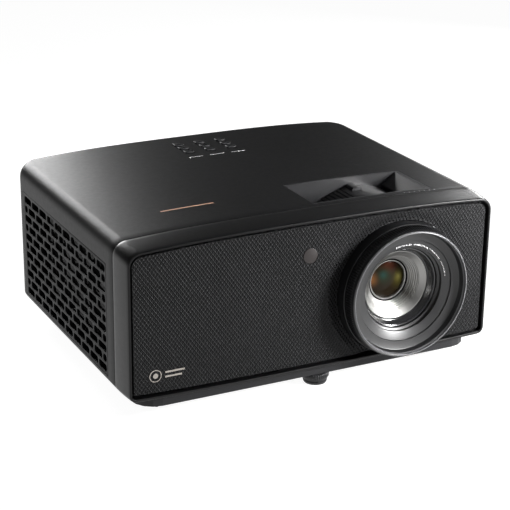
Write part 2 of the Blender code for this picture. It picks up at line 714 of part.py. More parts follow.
def make_rear_panel():
    """The connector panel in the back wall, and what it carries."""
    d_range = (BODY_DEPTH - WALL - GAP, BODY_DEPTH - 0.4)
    panel = box((-REAR_WINDOW_X + GAP, REAR_WINDOW_X - GAP), d_range,
                (REAR_WINDOW_HEIGHTS[0] + GAP, REAR_WINDOW_HEIGHTS[1] - GAP))
    through = (BODY_DEPTH - WALL - 3, BODY_DEPTH + 2)
    low = BOARD_HEIGHT + BOARD_THICKNESS + GAP
    tip = BODY_DEPTH - 0.2
    for name, place, width, height, socket_width, socket_height in SOCKETS:
        x = place - REAR_WINDOW_X
        panel = cut(panel, box(around(x, width + 2 * GAP), through,
                               (low - GAP, low + height + GAP)))
        shell = box(around(x, width), (tip - SOCKET_LENGTH, tip), (low, low + height))
        middle = low + height / 2
        mouth = box(around(x, socket_width), (tip - SOCKET_LENGTH + SOCKET_BACK_WALL, tip + 2),
                    around(middle, socket_height))
        finish(name, cut(shell, mouth), (0.45, 0.45, 0.46), 0.35, 0.9, flat=True)
    jack_height = low + JACK_RADIUS
    jack_axis = facing_back(JACK_PLACE - REAR_WINDOW_X, jack_height)
    panel = cut(panel, rod(JACK_RADIUS + GAP, *through, jack_axis))
    bore_end = tip - JACK_BORE_DEPTH
    jack_end = tip - JACK_LENGTH
    jack = turned([(JACK_RADIUS, tip), (JACK_RADIUS, jack_end), (0, jack_end),
                   (0, bore_end), (JACK_BORE, bore_end), (JACK_BORE, tip)], jack_axis, 20)
    finish("audio_jack", jack, (0.02, 0.02, 0.02), 0.4)
    inlet_range = (INLET_LOW, INLET_LOW + INLET_HEIGHT)
    panel = cut(panel, box(around(INLET_X, INLET_WIDTH + 2 * GAP), through,
                           (inlet_range[0] - GAP, inlet_range[1] + GAP)))
    inlet = box(around(INLET_X, INLET_WIDTH), (tip - INLET_LENGTH, tip), inlet_range)
    middle = INLET_LOW + INLET_HEIGHT / 2
    mouth_width, mouth_height, mouth_depth = INLET_MOUTH
    inlet = cut(inlet, box(around(INLET_X, mouth_width), (tip - mouth_depth, tip + 2),
                           around(middle, mouth_height)))
    pin_range = (tip - INLET_PIN_DEPTHS[0], tip - INLET_PIN_DEPTHS[1])
    for across, up in INLET_PINS:
        pin = box(around(INLET_X + across, INLET_PIN_SIZE[0]), pin_range,
                  around(middle + up, INLET_PIN_SIZE[1]))
        inlet = join(inlet, pin)
    finish("power_inlet", inlet, (0.015, 0.015, 0.016), 0.5, flat=True)
    finish("rear_panel", panel, (0.025, 0.025, 0.027), 0.55, flat=True)


def make_zoom_well():
    """The recess in the cover that the zoom dial rises into."""
    x0 = WELL_X[0] + GAP
    x1 = WELL_X[1] - GAP
    top = BODY_TOP - 0.3
    lip = top - WELL_SLOPE * (x1 - WELL_WALL - WELL_SLOPE_END_X)
    under = WELL_WALL * math.hypot(1, WELL_SLOPE)
    wall = x1 - WELL_WALL
    d_range = (WELL_DEPTHS[0] + GAP, WELL_DEPTHS[1] - GAP)
    well = box((x0, x1), d_range, (WELL_BOTTOM_HEIGHT, top))
    left = x0 + WELL_LEFT_BEVEL
    space = [(x0 + 0.6, top + 1), (x0 + 0.6, top - 0.2), (left, top - WELL_LEFT_BEVEL),
             (left, WELL_BOTTOM_HEIGHT - 2), (WELL_SLOPE_END_X + 3, WELL_BOTTOM_HEIGHT - 2),
             (WELL_SLOPE_END_X, lip - under - 0.5), (WELL_SLOPE_END_X, lip),
             (wall, top), (wall, top + 1)]
    below = [(WELL_SLOPE_END_X + 1, WELL_BOTTOM_HEIGHT - 2), (WELL_SLOPE_END_X + 1, lip - under),
             (wall, lip - under + WELL_SLOPE * (wall - WELL_SLOPE_END_X)),
             (wall, WELL_BOTTOM_HEIGHT - 2)]
    inner_range = (d_range[0] + WELL_WALL, d_range[1] - WELL_WALL)
    well = cut(well, prism(space, *inner_range), prism(below, *inner_range))
    finish("zoom_well", well, (0.045, 0.045, 0.05), 0.35, flat=True)


def make_keypad():
    """Keys, their board and the light guide in the cover."""
    cover_inside = BODY_TOP - WALL
    flange_top = cover_inside - GAP
    stem_end = flange_top - KEY_FLANGE_THICKNESS - KEY_STEM_LENGTH
    for row, d in zip(KEY_NAMES, KEY_DEPTHS):
        for name, x in zip(row, KEY_COLUMNS):
            cap = box(around(x, KEY_SIZE[0]), around(d, KEY_SIZE[1]),
                      (flange_top - 0.5, BODY_TOP + KEY_PROUD))
            flange = box(around(x, KEY_SIZE[0] + 2 * KEY_FLANGE_EXTRA),
                         around(d, KEY_SIZE[1] + 2 * KEY_FLANGE_EXTRA),
                         (flange_top - KEY_FLANGE_THICKNESS, flange_top))
            stem = box(around(x, 3), around(d, 3), (stem_end, flange_top - 0.4))
            key = join(cap, flange, stem)
            finish(name, key, (0.02, 0.02, 0.022), 0.4, origin=at(x, d, BODY_TOP), flat=True)
    board_top = stem_end - KEY_TRAVEL_ROOM
    board = box((KEY_COLUMNS[0] - 14, KEY_COLUMNS[-1] + 14),
                (LIGHT_BAR_DEPTH - 6, KEY_DEPTHS[-1] + 9),
                (board_top - BOARD_THICKNESS, board_top))
    finish("key_board", board, (0.01, 0.12, 0.05), 0.5, flat=True)
    strip_top = cover_inside - GAP
    guide = box((KEY_COLUMNS[0] - 9, KEY_COLUMNS[-1] + 9), around(LIGHT_BAR_DEPTH, 5),
                (strip_top - 2, strip_top))
    for x in KEY_COLUMNS:
        guide = join(guide, box(around(x, LIGHT_BAR_LENGTH),
                                around(LIGHT_BAR_DEPTH, LIGHT_BAR_WIDTH),
                                (strip_top - 1, BODY_TOP - 0.1)))
    finish("light_guide", guide, (0.9, 0.9, 0.9), 0.4, flat=True)


# ---------------------------------------------------------------- lens

def make_lens():
    """Collar, focus ring, front ring, focusing group, barrel, zoom ring and zoom group."""
    centre = lens_point(0, 0, 0)
    collar = turned([(COLLAR_RADIUS, COLLAR_BACK), (COLLAR_RADIUS, DISH_DEPTH - 1),
                     (COLLAR_FRONT_RADIUS, COLLAR_FRONT),
                     (SLEEVE_OUTER + RUN_CLEARANCE, COLLAR_FRONT),
                     (SLEEVE_OUTER + RUN_CLEARANCE, COLLAR_BACK)], LENS_AXIS)
    collar = cut(collar, box(around(LENS_X, 200), (COLLAR_FRONT - 5, COLLAR_BACK + 5),
                             (-40, COLLAR_LOW)))
    finish("lens_collar", collar, (0.012, 0.012, 0.013), 0.35)

    front = -LENS_PROUD
    ring = turned([(COLLAR_FRONT_RADIUS - 0.3, COLLAR_FRONT - GAP),
                   (RIB_FRONT_RADIUS, front + 3.6), (LIP_RADIUS + 0.3, front + 0.8),
                   (LIP_RADIUS - 0.3, front), (LIP_INNER, front),
                   (HOOD_WALL_RADIUS, HOOD_WALL_DEPTH),
                   (HOOD_FLOOR_RADIUS, HOOD_FLOOR_DEPTH),
                   (SLEEVE_INNER, HOOD_FLOOR_DEPTH + 0.5), (SLEEVE_INNER, SLEEVE_BACK),
                   (SLEEVE_OUTER, SLEEVE_BACK), (SLEEVE_OUTER, COLLAR_FRONT - GAP)],
                  LENS_AXIS)
    finish("focus_ring", ring, (0.012, 0.012, 0.013), 0.4, origin=centre)

    outer = SLEEVE_INNER - RUN_CLEARANCE
    face_outer = HOOD_FLOOR_DEPTH + 0.9
    front_ring = turned([(outer, face_outer), (MARK_RING_INNER, MARK_RING_DEPTH),
                         (MARK_RING_INNER, MARK_RING_DEPTH + 3),
                         (BARREL_BORE, MARK_RING_DEPTH + 3.5),
                         (BARREL_BORE, BARREL_FRONT - GAP), (outer, BARREL_FRONT - GAP)],
                        LENS_AXIS)
    finish("lens_front_ring", front_ring, (0.03, 0.03, 0.032), 0.35)

    cell_outer = BARREL_BORE - 0.5
    cell = turned([(cell_outer, FOCUS_CELL_FRONT), (TRIM_RADIUS + 0.6, TRIM_FRONT - 0.6),
                   (TRIM_RADIUS + GAP, TRIM_FRONT + 0.4), (TRIM_RADIUS + GAP, GLASS_FRONT - 3),
                   (GLASS_RADIUS + GAP, GLASS_FRONT - 2.5),
                   (GLASS_RADIUS + GAP, FOCUS_CELL_BACK), (cell_outer, FOCUS_CELL_BACK)],
                  LENS_AXIS)
    finish("focus_cell", cell, (0.04, 0.04, 0.042), 0.25, 0.3, origin=centre)
    seat = GLASS_FRONT - 3.5
    throat = GLASS_RADIUS + 0.8
    tread = (TRIM_RADIUS - throat) / 4
    trim = turned([(TRIM_RADIUS, TRIM_FRONT), (throat + 2.3 * tread, TRIM_FRONT + 1.5),
                   (throat + 2.1 * tread, TRIM_FRONT + 5.5), (throat + 1.1 * tread, TRIM_FRONT + 7.0),
                   (throat + 0.9 * tread, TRIM_FRONT + 10.0), (throat + 0.1, TRIM_FRONT + 11.5),
                   (throat, seat), (TRIM_RADIUS, seat)], LENS_AXIS)
    finish("lens_trim_ring", trim, (0.75, 0.74, 0.72), 0.2, 1.0, origin=centre)
    glass = turned([(0, GLASS_FRONT - 3.6), (GLASS_RADIUS * 0.38, GLASS_FRONT - 3.1),
                    (GLASS_RADIUS * 0.7, GLASS_FRONT - 1.7),
                    (GLASS_RADIUS, GLASS_FRONT + 0.5), (GLASS_RADIUS, GLASS_FRONT + 6),
                    (0, GLASS_FRONT + 6)], LENS_AXIS, 28)
    finish("front_lens", glass, (0.05, 0.05, 0.03), 0.05, origin=centre)

    plate = box(around(LENS_X, 2 * BARREL_FLANGE_HALF),
                (BARREL_BACK - BARREL_FLANGE_THICKNESS, BARREL_BACK),
                around(LENS_HEIGHT, 2 * BARREL_FLANGE_HALF))
    tube = rod(BARREL_OUTER, BARREL_FRONT, BARREL_BACK - 1, LENS_AXIS, LENS_STEPS)
    bore = rod(BARREL_BORE, BARREL_FRONT - 5, BARREL_BACK + 5, LENS_AXIS, LENS_STEPS)
    finish("lens_barrel", cut(join(plate, tube), bore), (0.05, 0.05, 0.055), 0.4, 0.6)

    make_zoom_ring(centre)
    first, last = ZOOM_CELL_DEPTHS
    cell = turned([(cell_outer, first), (ZOOM_CELL_BORE, first), (ZOOM_CELL_BORE, last),
                   (cell_outer, last)], LENS_AXIS, 28)
    finish("zoom_cell", cell, (0.05, 0.05, 0.052), 0.4, 0.4, origin=centre)
    edge = ZOOM_CELL_BORE - GAP
    middle = (first + last) / 2
    lens = turned([(0, middle - 6), (edge * 0.6, middle - 5), (edge, middle - 2),
                   (edge, middle + 2), (edge * 0.6, middle + 5), (0, middle + 6)],
                  LENS_AXIS, 24)
    finish("zoom_lens", lens, (0.5, 0.6, 0.6), 0.05, origin=centre)


def arc_band(inner, outer, angles, steps):
    """Outline of a ring segment about the lens axis, as (x, h) points."""
    points = []
    for radius, ends in ((outer, angles), (inner, angles[::-1])):
        for step in range(steps + 1):
            angle = math.radians(ends[0] + (ends[1] - ends[0]) * step / steps)
            points.append((LENS_X + radius * math.cos(angle),
                           LENS_HEIGHT + radius * math.sin(angle)))
    return points


def make_zoom_ring(centre):
    """Ring on the barrel with a web, the finger dial and its knob."""
    inner = BARREL_OUTER + RUN_CLEARANCE
    ring = turned([(ZOOM_RING_RADIUS, ZOOM_FRONT), (inner, ZOOM_FRONT), (inner, ZOOM_BACK),
                   (ZOOM_RING_RADIUS, ZOOM_BACK)], LENS_AXIS)
    middle = (ZOOM_FRONT + ZOOM_BACK) / 2
    rim = ZOOM_DIAL_RADIUS - ZOOM_DIAL_THICKNESS
    web_angles = (ZOOM_DIAL_ANGLES[0] + 2, ZOOM_DIAL_ANGLES[1] - 2)
    web = prism(arc_band(ZOOM_RING_RADIUS - 2, rim + 1, web_angles, 18),
                middle - 2, middle + 2)
    dial = prism(arc_band(rim, ZOOM_DIAL_RADIUS, ZOOM_DIAL_ANGLES, 28), ZOOM_FRONT,
                 ZOOM_BACK)
    knob_x = LENS_X + ZOOM_DIAL_RADIUS * math.cos(math.radians(ZOOM_KNOB_ANGLE))
    knob = box(around(knob_x, 2 * ZOOM_KNOB_HALF_WIDTH), ZOOM_KNOB_DEPTHS,
               (LENS_HEIGHT + rim + 1, LENS_HEIGHT + ZOOM_KNOB_RADIUS), 1.6, 2)
    finish("zoom_ring", join(ring, web, dial, knob), (0.02, 0.02, 0.021), 0.5,
           origin=centre)


# ---------------------------------------------------------------- inside

def make_fans():
    """Two axial fans behind the left vent, each a frame and a rotor."""
    for number, d in enumerate(FAN_DEPTHS, 1):
        axis = facing_right(d, FAN_HEIGHT)
        x_range = around(FAN_X + FAN_THICKNESS / 2, FAN_THICKNESS)
        frame = box(x_range, around(d, FAN_SIZE), around(FAN_HEIGHT, FAN_SIZE))
        frame = cut(frame, rod(FAN_BORE, x_range[0] - 3, x_range[1] + 3, axis, 24))
        strut_range = (x_range[1] - FAN_STRUT_THICKNESS, x_range[1] - GAP)
        reach = FAN_SIZE - 3
        bars = box(strut_range, around(d, reach), around(FAN_HEIGHT, FAN_FRAME_STRUT))
        upright_bar = box(strut_range, around(d, FAN_FRAME_STRUT), around(FAN_HEIGHT, reach))
        plate = rod(FAN_HUB, *strut_range, axis)
        frame = join(frame, join(bars, upright_bar, plate))
        finish(f"fan_frame_{number}", frame, (0.02, 0.02, 0.02), 0.5, flat=True)
        rotor = fan_rotor(x_range[0] + FAN_ROTOR_ROOM[0], x_range[1] - FAN_ROTOR_ROOM[1])
        rotor.transform(axis)
        finish(f"fan_rotor_{number}", tidy(rotor), (0.03, 0.03, 0.03), 0.45,
               origin=at(x_range[0] + FAN_THICKNESS / 2, d, FAN_HEIGHT))


def fan_rotor(start, end):
    """Hub with blades drawn out of every fourth of its sides, along Z."""
    work = bmesh.new()
    length = (end - start) * MM
    sides = FAN_BLADES * 4
    bmesh.ops.create_cone(work, cap_ends=True, segments=sides, radius1=FAN_HUB * MM,
                          radius2=FAN_HUB * MM, depth=length)
    bmesh.ops.translate(work, vec=(0, 0, (start + end) / 2 * MM), verts=work.verts)
    walls = [face for face in work.faces if abs(face.normal.z) < 0.5]
    walls.sort(key=lambda face: math.atan2(face.normal.y, face.normal.x))
    for wall in walls[::4]:
        outward = wall.normal.copy()
        centre = wall.calc_center_median()
        bmesh.ops.inset_individual(work, faces=[wall], thickness=0.8 * MM)
        reach = (FAN_BLADE_RADIUS - FAN_HUB) * MM
        grown = bmesh.ops.extrude_discrete_faces(work, faces=[wall])
        tip = grown["faces"][0]
        turn = Matrix.Rotation(math.radians(FAN_BLADE_TWIST), 3, outward)
        for vert in tip.verts:
            offset = turn @ (vert.co - centre)
            vert.co = centre + offset * 0.92 + outward * reach
    mesh = bpy.data.meshes.new("rotor")
    work.to_mesh(mesh)
    work.free()
    return mesh


def comb(base_range, tip, span, count, thickness):
    """Outline of a heat sink: a base between two values and fins out to tip."""
    near, far = base_range
    points = [(near, span[0]), (far, span[0])]
    pitch = (span[1] - span[0] - thickness) / (count - 1)
    for index in range(count):
        low = span[0] + index * pitch
        points += [(far, low), (tip, low), (tip, low + thickness), (far, low + thickness)]
    points.append((near, span[1]))
    return points[:1] + points[2:]


def make_inside():
    """Light engine, laser, phosphor wheel, boards, power supply and speaker."""
    x0, x1 = ENGINE_X
    d0, d1 = ENGINE_DEPTHS
    engine = box(ENGINE_X, ENGINE_DEPTHS, (BASE_HEIGHT, ENGINE_TOP), 2.0, 1)
    cavity = box((x0 + ENGINE_WALL, x1 - ENGINE_WALL), (d0 - 3, d1 - ENGINE_WALL),
                 (BASE_HEIGHT + ENGINE_WALL, ENGINE_TOP - ENGINE_WALL))
    finish("light_engine_housing", cut(engine, cavity), (0.35, 0.35, 0.36), 0.45, 0.8,
           flat=True)
    chip_d = d1 + GAP
    board_width, board_height = DMD_BOARD_SIZE
    board = box(around(LENS_X, board_width), (chip_d, chip_d + BOARD_THICKNESS),
                around(LENS_HEIGHT, board_height))
    finish("dmd_board", board, (0.01, 0.12, 0.05), 0.5, flat=True)
    sink_d = chip_d + BOARD_THICKNESS + GAP
    sink_width, sink_height = DMD_SINK_SIZE
    fins = comb((sink_d, sink_d + SINK_BASE), sink_d + DMD_SINK_REACH,
                around(LENS_X, sink_width), SINK_FINS, SINK_FIN_THICKNESS)
    sink = prism([(x, d) for d, x in fins], *around(LENS_HEIGHT, sink_height), upright)
    finish("dmd_heat_sink", sink, (0.7, 0.7, 0.72), 0.35, 1.0, flat=True)

    laser = box(LASER_X, LASER_DEPTHS, (BASE_HEIGHT, LASER_TOP), 2.0, 1)
    finish("laser_module", laser, (0.5, 0.45, 0.3), 0.35, 0.9, flat=True)
    sink_x = LASER_X[0] - 1
    fins = comb((sink_x, sink_x - SINK_BASE), sink_x - LASER_SINK_REACH, LASER_DEPTHS,
                SINK_FINS, SINK_FIN_THICKNESS)
    sink = prism(fins, BASE_HEIGHT, LASER_SINK_TOP, upright)
    finish("laser_heat_sink", sink, (0.7, 0.7, 0.72), 0.35, 1.0, flat=True)

    wheel_axis = facing_right(WHEEL_DEPTH, WHEEL_HEIGHT)
    motor_x = LASER_X[1] + GAP
    motor_end = motor_x + MOTOR_LENGTH
    shaft_end = motor_end + MOTOR_SHAFT_LENGTH
    motor = turned([(0, motor_x), (MOTOR_RADIUS, motor_x), (MOTOR_RADIUS, motor_end),
                    (MOTOR_SHAFT_RADIUS, motor_end), (MOTOR_SHAFT_RADIUS, shaft_end),
                    (0, shaft_end)], wheel_axis, 20)
    finish("phosphor_motor", motor, (0.3, 0.3, 0.3), 0.35, 0.9)
    wheel_x = shaft_end + WHEEL_GAP
    wheel = rod(WHEEL_RADIUS, wheel_x, wheel_x + WHEEL_THICKNESS, wheel_axis, 28)
    finish("phosphor_wheel", wheel, (0.8, 0.7, 0.2), 0.4,
           origin=at(wheel_x + WHEEL_THICKNESS / 2, WHEEL_DEPTH, WHEEL_HEIGHT))

    board = box(MAIN_BOARD_X, (MAIN_BOARD_FRONT, BODY_DEPTH - WALL - 4),
                (BOARD_HEIGHT, BOARD_HEIGHT + BOARD_THICKNESS))
    spreader_low = BOARD_HEIGHT + BOARD_THICKNESS - 0.5
    spreader = box(SPREADER_X, SPREADER_DEPTHS,
                   (spreader_low, spreader_low + SPREADER_THICKNESS))
    finish("main_board", join(board, spreader), (0.01, 0.12, 0.05), 0.5, flat=True)
    make_power_supply()

    speaker = box(SPEAKER_X, SPEAKER_DEPTHS, SPEAKER_HEIGHTS, 2.0, 1)
    front = SPEAKER_X[1]
    middle = (sum(SPEAKER_DEPTHS) / 2, sum(SPEAKER_HEIGHTS) / 2)
    mouth = turned([(0, front + 6), (SPEAKER_MOUTH_RADIUS, front + 6),
                    (SPEAKER_MOUTH_RADIUS, front - 1.5), (SPEAKER_CONE_RADIUS, front - 6),
                    (0, front - 6)], facing_right(*middle), 24)
    finish("speaker", cut(speaker, mouth), (0.02, 0.02, 0.02), 0.6)


def make_power_supply():
    """Supply board with its transformer, choke, heat sink rail and two capacitors."""
    x0 = SUPPLY_X[0]
    d0, d1 = SUPPLY_DEPTHS
    low = BASE_HEIGHT + SUPPLY_BOARD_THICKNESS - 0.5
    supply = box(SUPPLY_X, SUPPLY_DEPTHS, (BASE_HEIGHT, BASE_HEIGHT + SUPPLY_BOARD_THICKNESS))
    transformer = box((x0 + 11, x0 + 43), (d0 + 10, d0 + 30), (low, low + 36))
    choke = box((x0 + 55, x0 + 77), (d0 + 8, d0 + 26), (low, low + 24))
    rail = box((x0 + 3, x0 + 70), (d1 - 8, d1 - 4), (low, low + 42))
    supply = join(supply, transformer, choke, rail)
    for across in (54, 76):
        can = rod(8.5, low, low + 32, facing_up(x0 + across, d1 - 20), 12)
        supply = join(supply, can)
    finish("power_supply", supply, (0.30, 0.22, 0.08), 0.5, flat=True)


# ---------------------------------------------------------------- feet and screws

def make_feet():
    """Height-adjusting front foot, two rear feet and the case screws."""
    axis = facing_up(FRONT_FOOT_X, FRONT_FOOT_DEPTH)
    stud_low = -GROUND_DROP + 4
    origin = at(FRONT_FOOT_X, FRONT_FOOT_DEPTH, -PLINTH_DROP)
    stud = rod(STUD_RADIUS, stud_low, STUD_TOP, axis)
    finish("front_foot_stud", stud, (0.6, 0.6, 0.6), 0.35, 1.0, origin=origin)
    knob_top = -PLINTH_DROP - 0.6
    bore = STUD_RADIUS + GAP
    knob = turned([(bore, knob_top), (bore, stud_low - GAP), (0, stud_low - GAP),
                   (0, -GROUND_DROP), (FOOT_RADIUS - 2.2, -GROUND_DROP),
                   (FOOT_RADIUS - 1.2, -GROUND_DROP + 1.2), (FOOT_RADIUS - 0.6, -GROUND_DROP + 4),
                   (FOOT_RADIUS, knob_top - 0.8), (FOOT_RADIUS - 0.8, knob_top)][::-1],
                  axis, 24)
    finish("front_foot_knob", knob, (0.015, 0.015, 0.016), 0.5, origin=origin)
    rear_depth = BODY_DEPTH - REAR_FOOT_INSET
    for name, x in (("rear_foot_left", -REAR_FOOT_X), ("rear_foot_right", REAR_FOOT_X)):
        top = -PLINTH_DROP - GAP
        foot = turned([(0, top), (REAR_FOOT_RADIUS, top),
                       (REAR_FOOT_RADIUS - 0.5, -GROUND_DROP + 1),
                       (REAR_FOOT_RADIUS - 1.5, -GROUND_DROP), (0, -GROUND_DROP)],
                      facing_up(x, rear_depth), 24)
        finish(name, foot, (0.015, 0.015, 0.015), 0.8)
    number = 0
    for x in (-SCREW_X, SCREW_X):
        for d in SCREW_DEPTHS:
            number += 1
            head_top = -PLINTH_DROP - GAP
            screw = turned([(0, FLOOR_HEIGHT + 3), (SCREW_SHANK_RADIUS, FLOOR_HEIGHT + 3),
                            (SCREW_SHANK_RADIUS, head_top), (SCREW_HEAD_RADIUS, head_top),
                            (SCREW_HEAD_RADIUS - 0.6, head_top - 1.8), (0, head_top - 1.8)],
                           facing_up(x, d), 10)
            finish(f"case_screw_{number}", screw, (0.35, 0.35, 0.36), 0.35, 1.0)


make_cover()
make_tray()
make_bezel()
make_front_panel()
make_vents()
make_rear_panel()
make_zoom_well()
make_keypad()
make_lens()
make_fans()
make_inside()
make_feet()
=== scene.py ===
"""Looks of the home projector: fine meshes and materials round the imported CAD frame.

Lengths are millimetres in the projector's own terms, as in the CAD: x across, d back from
the front rim's plane and h up from the rim's underside. at() turns them into metres in the
frame's own axes, and its zero comes from the frame's boxes.
"""

import json
import math

import bmesh
import bpy
from mathutils import Matrix, Vector


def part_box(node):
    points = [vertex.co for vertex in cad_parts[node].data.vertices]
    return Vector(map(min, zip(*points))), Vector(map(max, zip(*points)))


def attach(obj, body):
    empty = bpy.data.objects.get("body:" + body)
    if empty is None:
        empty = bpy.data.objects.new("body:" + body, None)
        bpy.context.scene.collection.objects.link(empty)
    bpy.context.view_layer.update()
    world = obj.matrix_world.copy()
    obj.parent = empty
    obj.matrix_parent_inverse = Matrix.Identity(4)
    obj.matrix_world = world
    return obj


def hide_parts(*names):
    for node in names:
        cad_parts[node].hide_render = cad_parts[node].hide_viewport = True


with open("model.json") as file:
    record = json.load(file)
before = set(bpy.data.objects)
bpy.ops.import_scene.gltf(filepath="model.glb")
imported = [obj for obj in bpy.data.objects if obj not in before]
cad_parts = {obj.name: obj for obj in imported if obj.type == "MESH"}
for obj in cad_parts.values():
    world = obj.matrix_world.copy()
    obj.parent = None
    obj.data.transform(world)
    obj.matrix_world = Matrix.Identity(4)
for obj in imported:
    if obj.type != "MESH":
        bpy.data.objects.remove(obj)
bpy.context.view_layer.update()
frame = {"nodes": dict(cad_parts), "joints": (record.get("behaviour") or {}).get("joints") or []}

MM = 0.001
JOINTS = {joint["name"]: joint for joint in frame["joints"]}

# ---------------------------------------------------------------- sizes taken from the frame


def box_mm(node):
    """A node's lowest and highest corner in millimetres."""
    low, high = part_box(node)
    return low / MM, high / MM


RIM_LOW = box_mm("front_bezel")[0]
COVER_HIGH = box_mm("top_cover")[1]
FRONT_Y = RIM_LOW.y
GROUND_DROP = RIM_LOW.z
BODY_HALF_WIDTH = COVER_HIGH.x
BODY_DEPTH = COVER_HIGH.y - FRONT_Y
BODY_TOP = COVER_HIGH.z - GROUND_DROP
LENS_X = JOINTS["focus_turn"]["pos_m"][0] / MM
LENS_HEIGHT = JOINTS["focus_turn"]["pos_m"][2] / MM - GROUND_DROP


def depth_range(node):
    """A node's front and back as depths."""
    low, high = box_mm(node)
    return low.y - FRONT_Y, high.y - FRONT_Y


def height_range(node):
    """A node's lowest and highest heights."""
    low, high = box_mm(node)
    return low.z - GROUND_DROP, high.z - GROUND_DROP


def centre_of(node):
    """Middle of a node as x, depth and height."""
    low, high = box_mm(node)
    return ((low.x + high.x) / 2, (low.y + high.y) / 2 - FRONT_Y,
            (low.z + high.z) / 2 - GROUND_DROP)


def half_sizes(node):
    """Half of a node's width and half of its height."""
    low, high = box_mm(node)
    return (high.x - low.x) / 2, (high.z - low.z) / 2


# ---------------------------------------------------------------- sizes as in the CAD

FLARE = 1.9
RIM_HALF_WIDTH = BODY_HALF_WIDTH - FLARE
RIM_HEIGHT = BODY_TOP - FLARE
SEAM_DEPTH = 27.0
CROWN = 4.8
BELLY = 2.2
CORNER_RADIUS = 12.0
UNDER_RADIUS = 6.0
PLAN_RADIUS = 18.0
REAR_EDGE_RADIUS = 4.0
PARTING_HEIGHT = 6.0
WALL = 2.5
RIM_WALL = 2.2
GAP = 0.3
SOFT_EDGE = 0.5
PANEL_INSET = 4.8
PANEL_FRONT = 2.0
PANEL_BACK = 5.7
FLANGE_DEPTH = 6.0
FLANGE_THICKNESS = 2.5
FLANGE_INSET = 11.0
DISH_RADIUS = 70.3
DISH_DEPTH = 8.0
DISH_WALL = 2.2
PANEL_BORE = 59.4
IR_X = LENS_X - 87.4
IR_HEIGHT = RIM_HEIGHT - 30.9
IR_RADIUS = 6.7
WELL_X = (LENS_X - 68.7, LENS_X + 47.7)
WELL_DEPTHS = (33.0, 89.4)
WELL_WALL = 2.2
WELL_LEFT_BEVEL = 3.0
WELL_BOTTOM_HEIGHT = BODY_TOP - 22.0
WELL_SLOPE = 0.796
WELL_SLOPE_END_X = LENS_X + 31.8
KEY_COLUMNS = (-20.5, 0.9, 22.3)
KEY_DEPTHS = (213.0, 225.0, 237.0)
KEY_SIZE = (9.4, 7.0)
KEY_CLEARANCE = 0.4
KEY_NAMES = (
    ("key_left", "key_down", "key_right"),
    ("key_source", "key_enter", "key_back"),
    ("key_power", "key_up", "key_menu"),
)
LIGHT_BAR = (14.2, 1.4)
LIGHT_BAR_DEPTH = 196.8
VENT_DEPTHS = (42.0, BODY_DEPTH - 21.0)
VENT_HEIGHTS = (8.5, RIM_HEIGHT - 24.9)
REAR_WINDOW_X = RIM_HALF_WIDTH - 28.5
REAR_WINDOW_HEIGHTS = (20.0, RIM_HEIGHT - 34.4)

# Fine pattern sizes
SLOT_FIRST_DEPTH = 44.6
SLOT_PITCH = 19.75
SLOT_LENGTH = 17.2
SLOTS_IN_ROW = 10
SLOT_ROWS = 11
SLOT_ROW_PITCH = 8.73
SLOT_HEIGHT = 6.2
SLOT_FIRST_HEIGHT = 14.3
DISH_FALL = 3.2
STUD_HOLE_RADIUS = 4.7
STUD_PLACE = (7.0, 14.0)
DIMPLE_PITCH = 3.3
DIMPLE_ROW = 2.3
DIMPLE_SINK = 0.45
DIMPLE_SHARE = 0.52
HOLE_LIP = 0.1
HOLE_SINK = 2.6
HOLE_SHARE = 0.46
RIB_COUNT = 160


def at(x, d, h):
    """Point in the frame, in metres, from millimetres across, back and up."""
    return Vector((x, d + FRONT_Y, h + GROUND_DROP)) * MM


# ---------------------------------------------------------------- materials

def new_material(name):
    """An empty Principled material with its node tree, shader and object coordinates."""
    made = bpy.data.materials.new(name)
    made.use_nodes = True
    tree = made.node_tree
    shader = tree.nodes["Principled BSDF"]
    coordinates = tree.nodes.new("ShaderNodeTexCoord").outputs["Object"]
    return made, tree, shader, coordinates


def noise(tree, coordinates, scale, detail=3.0, roughness=0.55):
    """Cloudy pattern, mostly between 0.3 and 0.7, with this many cycles a metre."""
    node = tree.nodes.new("ShaderNodeTexNoise")
    node.inputs["Scale"].default_value = scale
    node.inputs["Detail"].default_value = detail
    node.inputs["Roughness"].default_value = roughness
    tree.links.new(coordinates, node.inputs["Vector"])
    return node.outputs["Fac"]


def remap(tree, value, low, high, from_low=0.3, from_high=0.7):
    """A value moved from one range to another, and held at its ends."""
    node = tree.nodes.new("ShaderNodeMapRange")
    node.inputs["From Min"].default_value = from_low
    node.inputs["From Max"].default_value = from_high
    node.inputs["To Min"].default_value = low
    node.inputs["To Max"].default_value = high
    tree.links.new(value, node.inputs["Value"])
    return node.outputs["Result"]


def mix(tree, factor, first, second):
    """Mix of two colours, each a socket or an RGB value."""
    node = tree.nodes.new("ShaderNodeMix")
    node.data_type = "RGBA"
    sockets = [socket for socket in node.inputs if socket.type == "RGBA"]
    for socket, value in zip(sockets, (first, second)):
        if isinstance(value, tuple):
            socket.default_value = (*value, 1.0)
        else:
            tree.links.new(value, socket)
    tree.links.new(factor, node.inputs["Factor"])
    return next(socket for socket in node.outputs if socket.type == "RGBA")


def bump(tree, shader, height, strength, distance):
    """Fine relief from a pattern, this many metres high."""
    node = tree.nodes.new("ShaderNodeBump")
    node.inputs["Strength"].default_value = strength
    node.inputs["Distance"].default_value = distance
    tree.links.new(height, node.inputs["Height"])
    tree.links.new(node.outputs["Normal"], shader.inputs["Normal"])


def scaled(colour, factor):
    """A colour made lighter or darker."""
    return tuple(min(channel * factor, 1.0) for channel in colour)


def edge_highlight(tree, colour, highlight):
    """The colour, lighter on sharp convex edges as a painted edge highlight."""
    pointiness = tree.nodes.new("ShaderNodeNewGeometry").outputs["Pointiness"]
    edge = remap(tree, pointiness, 0.0, 0.5, 0.52, 0.60)
    return mix(tree, edge, colour, highlight)


